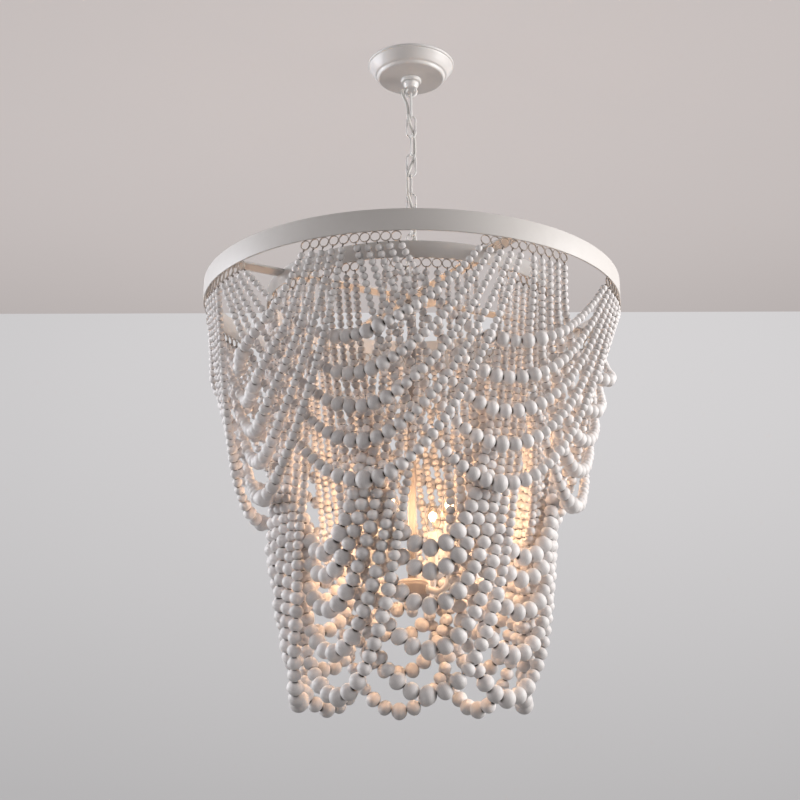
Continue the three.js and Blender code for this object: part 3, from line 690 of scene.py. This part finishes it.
def add_bar(name, notch_above, turn, node):
    """A flat bar, its ends turned down against the outer band, with half its thickness notched away
    at the crossing: the side outline, softened at its bends, carried across the bar's width."""
    reach = math.sqrt((outer_radius - band_thick - frame_gap) ** 2 - (bar_width / 2) ** 2)
    inside = reach - (bar_top - bar_bottom)
    tab_low = bar_top - 17 * MM
    half_notch = bar_width / 2 + frame_gap
    middle = (bar_top + bar_bottom) / 2
    over = softened([[half_notch, bar_top], [reach, bar_top], [reach, tab_low]], 3.6 * MM, 6)
    under = softened([[inside, tab_low], [inside, bar_bottom], [half_notch, bar_bottom]], 1.2 * MM, 5)
    way = -1 if notch_above else 1
    height = middle + way * frame_gap / 2
    notch = [[way * half_notch, height], [-way * half_notch, height]]
    right, left = [over, under], [(under * [-1, 1])[::-1], (over * [-1, 1])[::-1]]
    outline = np.concatenate([notch, *right, *left] if notch_above else [*right, notch, *left])
    edges = [np.insert(outline, 1, edge, axis=1) for edge in (-bar_width / 2, bar_width / 2)]
    points = np.stack(edges, 1) @ spin(turn)
    work = bmesh.new()
    verts = [[work.verts.new(place) for place in row] for row in points.tolist()]
    count = len(verts)
    for side in range(count):
        first, second = verts[side], verts[(side + 1) % count]
        work.faces.new((first[0], first[1], second[1], second[0]))
    for end in (0, 1):
        work.faces.new([row[end] for row in verts])
    bmesh.ops.recalc_face_normals(work, faces=work.faces)
    mesh = bpy.data.meshes.new(name)
    work.to_mesh(mesh)
    work.free()
    piece = add_piece(name, mesh, band_enamel, "white_enamel", node)
    edge = piece.modifiers.new("eased_edges", "BEVEL")
    edge.width = 0.35 * MM
    edge.segments = 2
    edge.limit_method = "ANGLE"
    edge.angle_limit = math.radians(50)
    sharpen(mesh, 30)


def add_hub():
    """The disc under the crossing, with a turned edge, and four screws with shallow domed heads."""
    under, screw_reach = -390.3, 20 * MM
    turned_piece("hub_disc", [[6.6, -387.3], [38, -387.3], [38, under], [6.6, under]], 0.6, 4, 96,
                 band_enamel, "white_enamel", "hub_plate", closed=True)
    dome = np.array([[0, -1], [0.45, -0.98], [0.8, -0.7], [1, -0.1], [1, 0], [0, 0]]) * [3.4, 2.0]
    dome = softened(MM * (dome + [0, under]), 0.3 * MM, 3)
    angles = [bar_turn + corner * TURN / 4 for corner in range(4)]
    places = [(screw_reach * math.cos(angle), screw_reach * math.sin(angle)) for angle in angles]
    heads = [turned(dome, 24, centre=place) for place in places]
    solid_piece("hub_screws", heads, zinc_plate, "zinc_steel")


add_outer_band()
add_inner_band()
add_bar("bar_over", False, bar_turn, "cross_bar_over")
add_bar("bar_under", True, bar_turn + TURN / 4, "cross_bar_under")
add_hub()

# Bead strands

BAYS = 8
BAY_TURN = TURN / BAYS
HOOKS = 5
hook_radius, hook_wall, hook_depth = 6.8 * MM, 1.05 * MM, 2.4 * MM
hook_pitch = 2 * hook_radius
hook_height = ring_bottom - frame_gap - hook_radius
hook_middle = hook_radius - hook_wall / 2
row_gap = 0.6 * MM
strand_top = -419.1 * MM

# Between strands: the first lean, the room between beads and how nearly it is met, and the length
# at each end that is held by the hook ring
lean, held_end = 8 * MM, 50 * MM
bead_room, settled = 0.5 * MM, 0.02 * MM

# Along a strand: gaps between beads, more between large ones, and the bare wire at its ends
bead_gap, large_gap, hook_room = 0.15 * MM, 0.35 * MM, 2.9 * MM
small_bead, large_bead = 12 * MM, 16 * MM
bead_tilt, bead_growth, bore_share = 0.035, 0.012, 0.25
random = np.random.default_rng(11)

upper_tier = {
    "name": "upper",
    "radius": outer_radius - band_thick / 2,
    "turn": math.radians(-15.2),
    "drops": [112, 157, 199, 242, 292],
    "bows": [0, 0, 2, 4, 8],
    "widths": [(0, 9.9), (0.35, 10.6), (0.55, 12), (0.7, 13.4), (0.8, 15), (0.93, 17.6), (0.965, 20)],
    "middles": [17, 19, 20, 22, 25],
    "samples": 101,
    "reach": 60,
    "heaviness": 1.0,
}
lower_tier = {
    "name": "lower",
    "radius": inner_radius - band_thick / 2,
    "turn": math.radians(7.3),
    "drops": [373, 402, 445, 500, 555],
    "bows": [0, 0, 0, 0, 0],
    "widths": [(0, 9.8), (0.3, 10.6), (0.48, 12), (0.6, 14), (0.69, 15.8), (0.77, 19.3), (0.955, 23.5)],
    "middles": [24, 24, 24, 25, 26],
    "samples": 161,
    "reach": 45,
    "heaviness": 0.0,
}


def hook_angle(radius, strand):
    """How far round from the bay's middle a strand's hook ring is."""
    return BAY_TURN - (row_gap / 2 + (HOOKS - 0.5 - strand) * hook_pitch) / radius


def bead_width(fallen, widths):
    """The bead's width at a share of the strand's drop, as steps from one size to the next."""
    found = np.full(np.shape(fallen), widths[0][1] * MM)
    for share, width in widths:
        found = np.where(fallen >= share, width * MM, found)
    return found


def hanging_half(drop, pull, widths, heaviness):
    """Half a strand, from its lowest point up to a hook. At height h its tension is T = pull + the weight
    of beads up to h, the weight of each going with its width to the power of heaviness, so that
    dx/dh = pull / sqrt(T^2 - pull^2) and the length grows by T / sqrt(T^2 - pull^2). Gives x, h,
    length, and dx/dh at the hook."""
    count = 600
    share = (np.arange(count) + 0.5) / count
    rise = drop * share**2
    step = 2 * drop * share / count
    weight = (bead_width(1 - rise / drop, widths) / (widths[0][1] * MM)) ** heaviness * step
    tension = pull + np.cumsum(weight) - weight / 2
    upright = np.sqrt(tension**2 - pull**2)
    columns = (np.cumsum(pull / upright * step), rise + step / 2, np.cumsum(tension / upright * step))
    return [np.concatenate([[0], column]) for column in columns] + [pull / upright[-1]]


def hanging_course(tier, strand):
    """A strand of two mirrored halves, sampled evenly along its length, in a plane that leans out by
    bow (1 - u^2)^2. Each end slides round its hook ring to where the strand pulls it. The pull that
    spans the bay is found by halving its range, again for each new place of the ends. Gives the points'
    along, out and height, their distance from the strand's middle and the beads' width there."""
    radius, drop, widths = tier["radius"], tier["drops"][strand] * MM, tier["widths"]
    low_point = strand_top - drop
    angle = hook_angle(radius, strand)
    half, top = radius * math.sin(angle), strand_top
    for _ in range(4):
        low, high = 1e-5, 10.0
        for _ in range(50):
            pull = math.sqrt(low * high)
            along, rise, arc, lie = hanging_half(top - low_point, pull, widths, tier["heaviness"])
            low, high = (low, pull) if along[-1] > half else (pull, high)
        half = radius * math.sin(angle) - hook_middle * math.sin(math.atan(lie))
        top = hook_height - hook_middle * math.cos(math.atan(lie))
    share = np.linspace(-1, 1, tier["samples"])
    side = np.interp(np.abs(share) * arc[-1], arc, along) * np.sign(share)
    out = radius * math.cos(angle) + tier["bows"][strand] * MM * (1 - (side / half) ** 2) ** 2
    height = low_point + np.interp(np.abs(share) * arc[-1], arc, rise)
    return side, out, height, share * arc[-1], bead_width(1 - (height - height.min()) / drop, widths)


def in_bay(along, out, height, turn):
    """Places in a bay's own frame, turned about the axis to where the bay is."""
    return np.stack([
        out * np.sin(turn) + along * np.cos(turn),
        along * np.sin(turn) - out * np.cos(turn),
        height + 0 * along,
    ], -1)


def settled_paths(tier):
    """Each strand's right half hangs outside the next bay's left half. Both start with a lean out or in
    that is greatest where the bays cross, a quarter sine to each side of it. Then each pair's tightest
    place is pushed apart by a bell-shaped offset, the shorter strand more, until every pair has room."""
    courses = [hanging_course(tier, strand) for strand in range(HOOKS)]
    along, out, height, arc, width = np.array(courses).swapaxes(0, 1)
    ends = arc[:, -1:]
    held = np.clip((ends - np.abs(arc)) / held_end, 0, 1)
    share = np.abs(along) / along[:, -1:]
    crossing = out * math.tan(BAY_TURN / 2) / along[:, -1:]
    nearness = np.where(share < crossing, share / crossing, (1 - share) / (1 - crossing))
    offset = lean * np.sign(along) * np.sin(nearness * math.pi / 2)
    room = (width[:, None, :, None] + width[None, :, None, :]) / 2 + bead_room
    reach = tier["reach"] * MM
    for _ in range(80):
        here = in_bay(along, out + offset, height, 0.0)
        there = in_bay(along, out + offset, height, BAY_TURN)
        apart = np.linalg.norm(here[:, None, :, None] - there[None, :, None, :], axis=-1)
        lack = (room - apart).reshape(HOOKS, HOOKS, -1)
        if lack.max() < settled:
            break
        push = np.zeros_like(offset)
        for first, second in np.ndindex(HOOKS, HOOKS):
            tightest = int(lack[first, second].argmax())
            amount = min(lack[first, second, tightest], 2 * MM)
            if amount <= 0:
                continue
            p, q = divmod(tightest, width.shape[1])
            outer_share = ends[second, 0] / (ends[first, 0] + ends[second, 0])
            for strand, at, part in ((first, p, outer_share), (second, q, outer_share - 1)):
                away = (arc[strand] - arc[strand, at]) / reach
                push[strand] += part * amount * np.exp(-(away**2))
        offset += push * held
    return in_bay(along, out + offset, height, 0.0)


def beads_of(tier, strand, path):
    """Threads beads from the strand's middle towards its hook: the middle bead, then pairs of beads whose
    widths follow the drop, each as far along as the beads before it reach. Gives the beads' places along
    the strand, their widths and lengths, and how far along each point of the strand's path is."""
    reach = distance_along(path)
    middle = reach[-1] / 2
    limit = middle - hook_room
    width = tier["middles"][strand] * MM
    length = 0.86 * width
    look_ahead = 4 * MM
    arcs, widths, lengths = [0.0], [width], [length]
    front = length / 2 + bead_gap
    while True:
        height = np.interp(middle + front + look_ahead, reach, path[:, 2])
        fallen = 1 - (height - path[:, 2].min()) / (tier["drops"][strand] * MM)
        width = float(bead_width(fallen, tier["widths"]))
        length = width * (0.91 if width < small_bead else 0.88)
        if front + length > limit:
            break
        front += large_gap if width > large_bead else 0
        arcs.append(front + length / 2)
        widths.append(width)
        lengths.append(length)
        front += length + bead_gap
    slack = (limit - front) / (len(arcs) - 1)
    arcs = np.array(arcs) + slack * np.arange(len(arcs)) * 0.8
    places = middle + np.concatenate([-arcs[:0:-1], arcs])
    widths, lengths = (np.concatenate([half[:0:-1], half]) for half in (widths, lengths))
    return places, widths, lengths, reach


def bead_points(places, runs, widths, lengths, bands, columns, turn):
    """Beads turned about their bores. Radius r = R cos(a) and place along the bore l = L sin(a) / sin(lip),
    for a between the two lips, where r is the bore's radius."""
    count = len(places)
    axis = unit(runs + random.normal(0, bead_tilt, (count, 3)))
    beside = unit(np.cross(axis, [0.0, 1.0, 0.3]))
    other = np.cross(axis, beside)
    lip = math.acos(bore_share)
    angle = np.linspace(-lip, lip, bands + 1)
    grown = random.normal(1, bead_growth, (count, 2))
    facing = random.uniform(0, TURN, count)[:, None] + np.arange(columns) * TURN / columns
    facing = facing[:, None, :, None]
    ring = np.cos(facing) * beside[:, None, None] + np.sin(facing) * other[:, None, None]
    radius = (widths * grown[:, 0] / 2)[:, None] * np.cos(angle)
    shift = (lengths * np.minimum(grown[:, 1], 1.0) / 2)[:, None] * (np.sin(angle) / math.sin(lip))
    points = places[:, None, None] + radius[:, :, None, None] * ring
    points += shift[:, :, None, None] * axis[:, None, None]
    return points @ spin(turn)


def bead_set(points, bands, columns):
    """The points, faces, UV corners and bore mask of many beads of the same grid."""
    count, rows = len(points), bands + 1
    row = np.repeat(np.arange(rows), columns)
    column = np.tile(np.arange(columns), rows)
    low, high = row / bands, np.minimum((row + 1) / bands, 1.0)
    corners = np.stack([
        np.stack([column, column + 1, column + 1, column], -1) / columns,
        np.stack([low, low, high, high], -1),
    ], -1)
    corners[row == bands, :, 1] = 1.0
    faces = np.arange(count)[:, None, None] * rows * columns + grid_faces(rows, columns, close_rows=True)
    return points, faces.reshape(-1, 4), np.tile(corners, (count, 1, 1)), np.tile(row == bands, count)


def bay_name(tier, kind, bay):
    return f"{tier['name']}_{kind}_{bay + 1}"


def strand_piece(tier, kind, bay, parts, material):
    solid_piece(bay_name(tier, kind, bay), parts, material, "zinc_steel", bay_name(tier, "strands", bay))


def add_beads(tier, bay, strands):
    """A bay's beads as one piece, the large ones on a finer grid than the small ones."""
    turn = tier["turn"] + bay * BAY_TURN
    sets, tones = [], []
    for large in (False, True):
        bands, columns = (10, 18) if large else (8, 12)
        for path, (stops, widths, lengths, reach) in strands:
            wanted = (widths > large_bead) == large
            places, ahead, behind = (
                along_path(path, reach, stops[wanted] + shift) for shift in (0, 2 * MM, -2 * MM))
            points = bead_points(
                places, unit(ahead - behind), widths[wanted], lengths[wanted], bands, columns, turn)
            sets.append(bead_set(points, bands, columns))
            tones.append(np.repeat(random.uniform(0, 1, len(points)), (bands + 1) * columns))
    name = bay_name(tier, "beads", bay)
    mesh = make_mesh(name, *gathered([one[:2] for one in sets]))
    corners, bores = (np.concatenate([one[part] for one in sets]) for part in (2, 3))
    tones = np.concatenate(tones).astype(np.float32)
    mesh.polygons.foreach_set("use_smooth", ~bores)
    mesh.uv_layers.new(name="wrap").uv.foreach_set("vector", corners.astype(np.float32).ravel())
    mesh.attributes.new("tone", "FLOAT", "POINT").data.foreach_set("value", tones)
    add_piece(name, mesh, chalk_bead, "painted_wood", bay_name(tier, "strands", bay))


def add_wires(tier, bay, strands):
    """The wire that each strand is threaded on, with a loop round its hook ring and a crimp at each end.
    Sizes are in millimetres."""
    wire, loop_wire, loop_high, loop_wide = 0.5, 0.45, 1.15, 2.1
    crimp_runs, crimp_radii = np.array([1.3, 1.5, 2.5, 2.7]), np.array([0.7, 0.95, 0.95, 0.7])
    turn = tier["turn"] + bay * BAY_TURN
    angle = np.arange(14)[:, None] * TURN / 14
    parts = []
    for strand, (path, _) in enumerate(strands):
        path = path @ spin(turn)
        parts.append(tube(path, wire * MM, 6))
        for end, inner, side in ((0, 4, -1), (-1, -5, 1)):
            top, run = path[end], unit(path[inner] - path[end])
            hook = turn + side * hook_angle(tier["radius"], strand)
            out = np.array([math.sin(hook), -math.cos(hook), 0.0])
            spoke = unit(top - tier["radius"] * out - np.array([0, 0, hook_height]))
            loop = top + MM * (loop_high * np.cos(angle) * spoke + loop_wide * np.sin(angle) * out)
            parts.append(tube(loop, loop_wire * MM, 6, np.cross(spoke, out), closed=True))
            parts.append(tube(top + run * (crimp_runs * MM)[:, None], crimp_radii * MM, 8))
    strand_piece(tier, "wires", bay, parts, strand_wire)


def add_hook_rings(tier, bay):
    """Ten short slices of tube on edge under the band, in a row to each side of the bay's middle: a
    section with eased edges turned about the line that runs out from the axis through the ring."""
    inner, half_depth = hook_radius - hook_wall, hook_depth / 2
    section = softened([
        [inner, -half_depth], [hook_radius, -half_depth], [hook_radius, half_depth], [inner, half_depth],
    ], 0.35 * MM, 2, closed=True)
    steps = np.arange(32) * TURN / 32
    across, up = section[:, :1] * np.cos(steps), section[:, :1] * np.sin(steps)
    out = tier["radius"] + section[:, 1:] + 0 * steps
    ring = np.stack([across, -out, hook_height + up], -1)
    faces = grid_faces(len(section), len(steps), close_rows=True)
    middle = tier["turn"] + bay * BAY_TURN
    parts = [(ring @ spin(middle + side * hook_angle(tier["radius"], strand)), faces)
             for side in (-1, 1) for strand in range(HOOKS)]
    strand_piece(tier, "hook_rings", bay, parts, ring_enamel_with_painted_shade)


def add_tier(tier):
    """All bays of a tier, which share their strands' paths but not their beads' random touches."""
    strands = [(path, beads_of(tier, strand, path)) for strand, path in enumerate(settled_paths(tier))]
    for bay in range(BAYS):
        add_beads(tier, bay, strands)
        add_wires(tier, bay, strands)
        add_hook_rings(tier, bay)


add_tier(upper_tier)
add_tier(lower_tier)

# Lamp cluster

stem_low, stem_high = -831.2 * MM, -380.2 * MM
hub_low, hub_high = -834.2 * MM, -804.2 * MM
arm_height = (hub_low + hub_high) / 2
pan_height = -795.2 * MM
lamp_reach, hot_wire_height = 60 * MM, -703 * MM
lamp_angles = [math.radians(60) + lamp * TURN / 4 for lamp in range(4)]


def add_stem():
    bore, radius = 4.2 * MM, 6.2 * MM
    outline = [[bore, stem_low], [radius, stem_low], [radius, stem_high], [bore, stem_high]]
    outline = softened(outline, 0.3 * MM, 2, closed=True)
    solid_piece("stem_tube", [turned(outline, 48, closed=True)], stem_enamel, "white_enamel", "stem")
    turned_piece("lamp_hub_body", [
        [6.6, -834.2], [17.5, -834.2], [21, -831.6], [24, -826.5], [24, -812.5], [22.6, -810.5],
        [22.6, -808.6], [20, -805.8], [16, -804.2], [6.6, -804.2],
    ], 1.6, 4, 72, hub_enamel, "white_enamel", "lamp_hub", closed=True)
    turned_piece("finial_knob", [
        [0, -856.5], [3.2, -856.3], [6.8, -853.6], [8.2, -849.4], [7.2, -845.2], [5.0, -841.6],
        [4.6, -839.6], [6.0, -838.4], [9.0, -837.2], [9.0, -834.5], [3.9, -834.5], [3.9, -828.5],
        [0, -828.5],
    ], 1.3, 4, 56, white_enamel, "white_enamel", "finial")


def add_lamp(lamp):
    """An arm with a collar at the hub, and a pan, a candle tube and a bulb on its end. The arm is
    drawn along -Y and turned to the lamp's side."""
    turn = spin(lamp_angles[lamp])
    high, pan, reach = arm_height / MM, pan_height / MM, lamp_reach / MM
    route = smooth_route(MM * np.array([
        [0, -22, high], [0, -25, high], [0, -42, high - 5], [0, -55, high + 2.5],
        [0, -reach, pan - 5], [0, -reach, pan - 0.3],
    ]), 8)
    collar = MM * np.array([[0, run, high] for run in (-24.3, -24.7, -26.8, -27.4)])
    tubes = [tube(route, 4.6 * MM, 20, (1.0, 0.0, 0.0)),
             tube(collar, MM * np.array([6.3, 6.8, 6.8, 6.0]), 28, (1.0, 0.0, 0.0))]
    solid_piece(f"arm_tube_{lamp + 1}", [(points @ turn, faces) for points, faces in tubes],
                white_enamel, "white_enamel", f"lamp_arm_{lamp + 1}")
    spot = (np.array([0, -lamp_reach, 0]) @ turn)[:2]
    turned_piece(f"pan_dish_{lamp + 1}", [
        [0, -795.2], [8.4, -795.2], [13.0, -793.4], [17.0, -789.4], [17.2, -788.2], [16.2, -788.4],
        [12.4, -791.9], [8.2, -793.8], [0, -793.8],
    ], 0.9, 4, 48, white_enamel, "white_enamel", f"drip_pan_{lamp + 1}", centre=spot)
    turned_piece(f"candle_tube_{lamp + 1}", [
        [6.7, -793.5], [7.8, -793.5], [7.8, -728.6], [7.4, -727.5], [6.7, -727.5],
    ], 0.35, 3, 40, socket_plastic, "ivory_plastic", f"candle_sleeve_{lamp + 1}", closed=True, centre=spot)
    add_bulb(lamp, spot)


def add_bulb(lamp, spot):
    """A candle bulb: a thin glass flame with an inner skin, a threaded cap, and a hoop of hot wire on
    two stays. The thread's radius swells and shrinks with height."""
    def bulb_piece(kind, parts, material, degrees=35):
        name, node = f"bulb_{kind}_{lamp + 1}", f"bulb_{lamp + 1}"
        solid_piece(name, parts, material, "lamp_glass", node, degrees=degrees)

    flame = MM * np.array([
        [5.6, -727.9], [6.0, -724.5], [9.2, -719.5], [11.6, -713.5], [12.0, -708.0], [10.8, -700.0],
        [8.0, -692.0], [4.6, -685.0], [1.6, -681.2], [0, -680.5],
    ])
    outer = softened(flame, 2.4 * MM, 4)
    inner = outer * [0.93, 1.0] - np.linspace(0, 1, len(outer))[:, None] * [0, 0.35 * MM]
    glass = turned(np.concatenate([outer, inner[::-1]]), 40, closed=True, centre=spot)
    bulb_piece("glass", [glass], lamp_glass, 60)
    thread_low, thread_high, thread_pitch = -743.2, -729.2, 2.6
    height = np.linspace(thread_low, thread_high, 57)
    thread = np.stack([5.25 + 0.35 * np.sin((height - thread_low) * TURN / thread_pitch), height], -1)
    tip, rim = [[0, -743.5], [2.2, -743.5], [3.6, -743.3]], [[5.7, -728.2], [0, -728.0]]
    cap = turned(MM * np.concatenate([tip, thread, rim]), 32, centre=spot)
    bulb_piece("cap", [cap], cap_brass)
    place = np.array([*spot, 0.0])
    angle = np.linspace(-0.35 * math.pi, 1.35 * math.pi, 41)
    hoop = np.stack([3.4 * np.cos(angle), 0.6 * np.sin(9 * angle), -704.5 + 7.5 * np.sin(angle)], -1)
    hoop = place + MM * hoop
    bulb_piece("wire", [tube(hoop, 0.55 * MM, 8)], hot_wire)
    stays = []
    for top, foot in ((hoop[0], 2.0), (hoop[-1], -2.0)):
        foot = place + MM * np.array([foot, 0, -727.5])
        stays.append(tube([foot, (foot + top) / 2, top], 0.3 * MM, 6))
    bulb_piece("stays", stays, zinc_plate)


add_stem()
for lamp in range(4):
    add_lamp(lamp)

# Room and light


def room_material(name, colour, shaded, painted_light_centre, painted_falloff):
    """A matt stage surface that shows the lamps' shadows, has its written colour to the camera and in
    reflections, and lets a view from behind pass through. Its colour holds a painted pool of light: its
    tone is 1 / (1 + sum of painted_falloff times the squared distance from painted_light_centre), but not
    under 0.7, besides a faint random drift."""
    material, wiring = new_material(name)
    # Painted light: the tone is brightest at a lit spot and falls off round it, as a pool of light
    away = wiring.vector("SUBTRACT", wiring.add("TexCoord").outputs["Object"], i1=painted_light_centre)
    squared = wiring.vector("MULTIPLY", away, i1=away)
    fallen = wiring.add("VectorMath", {"operation": "DOT_PRODUCT"}, i0=squared, i1=painted_falloff).outputs["Value"]
    level = wiring.math("MAXIMUM", wiring.math("DIVIDE", 1.0, wiring.math("ADD", fallen, 1.0)), 0.7)
    drift_and_painted_light = wiring.times(wiring.times(wiring.noise(1.3, 2.0), 0.04, 0.98), level)
    tone = wiring.vector("SCALE", linear(colour)[:3], Scale=drift_and_painted_light)
    matt = wiring.add("BsdfDiffuse", Color=tone)
    glow = wiring.add("Emission", Color=tone, Strength=1.0)
    front = wiring.mix(wiring.times(wiring.seen(), shaded), matt, glow)
    behind = wiring.add("NewGeometry").outputs["Backfacing"]
    finish_with(wiring, wiring.mix(behind, front, wiring.add("BsdfTransparent")))
    return material


def stage_plane(name, corners, material):
    mesh = bpy.data.meshes.new(name)
    mesh.from_pydata(corners, [], [(0, 1, 2, 3)])
    mesh.materials.append(material)
    plane = place_in_scene(name, mesh)
    plane.visible_shadow = False
    plane.visible_diffuse = False


def area_lamp(name, place, target, size, power, colour):
    """A round lamp that faces its target."""
    lamp = bpy.data.lights.new(name, "AREA")
    lamp.shape = "DISK"
    lamp.size = size
    lamp.energy = power
    lamp.color = colour
    holder = place_in_scene(name, lamp)
    holder.location = place
    run = np.array(target) - np.array(place)
    flat = math.hypot(run[0], run[1])
    holder.rotation_euler = (math.pi / 2 + math.atan2(run[2], flat), 0, math.atan2(-run[0], run[1]))


def add_room():
    back, side, floor, top = 1.14, 4.0, -2.4, 0.001
    ceiling = [(-side, back, top), (side, back, top), (side, -side, top), (-side, -side, top)]
    wall = [(-side, back, floor), (side, back, floor), (side, back, top), (-side, back, top)]
    ground = [(-side, -side, floor), (side, -side, floor), (side, side, floor), (-side, side, floor)]
    # The ceiling and the wall get a painted pool of light round a lit spot; the floor is even
    for name, corners, colour, shaded, painted_light_centre, painted_falloff in (
        ("ceiling", ceiling, (211, 203, 201), 0.85, (0.0, 0.15, 0), (0.1, 0.12, 0)),
        ("wall", wall, (215, 213, 214), 0.95, (0.25, 0, 0), (0.07, 0, 0.3)),
        ("floor", ground, (214, 210, 206), 0.8, (0, 0, 0), (0, 0, 0)),
    ):
        stage_plane(name, corners, room_material(name + "_paint", colour, shaded, painted_light_centre, painted_falloff))


def add_lights():
    middle = (0.0, 0.0, -0.55)
    area_lamp("window_right", (2.3, -0.4, -0.2), middle, 1.6, 66, (1.0, 0.985, 0.975))
    area_lamp("window_left", (-2.25, 0.4, -0.2), middle, 1.3, 43, (0.93, 0.95, 1.0))
    area_lamp("front_fill", (-1.2, -2.2, -0.15), middle, 1.2, 13, (1.0, 0.965, 0.955))
    area_lamp("floor_bounce", (0.0, -0.6, -2.35), (0.0, -0.1, 0.0), 2.2, 3, (1.0, 0.96, 0.93))
    for lamp, angle in enumerate(lamp_angles):
        bulb = bpy.data.lights.new(f"bulb_light_{lamp + 1}", "POINT")
        bulb.energy = 0.46
        bulb.color = (1.0, 0.64, 0.38)
        bulb.shadow_soft_size = 7 * MM
        spot = np.array([0, -lamp_reach, hot_wire_height]) @ spin(angle)
        place_in_scene(bulb.name, bulb).location = spot.tolist()
    world = bpy.data.worlds.new("room_air")
    world.use_nodes = True
    world.node_tree.nodes.clear()
    wiring = Wiring(world.node_tree)
    around = wiring.add("Background", Color=(0.92, 0.93, 0.97, 1.0), Strength=0.11)
    shown = wiring.add("Background", Color=linear((214, 212, 211)), Strength=1.0)
    wiring.add("OutputWorld", Surface=wiring.mix(wiring.seen(), around, shown).outputs[0])
    bpy.context.scene.world = world


add_room()
add_lights()
bpy.context.scene.view_settings.view_transform = "Standard"
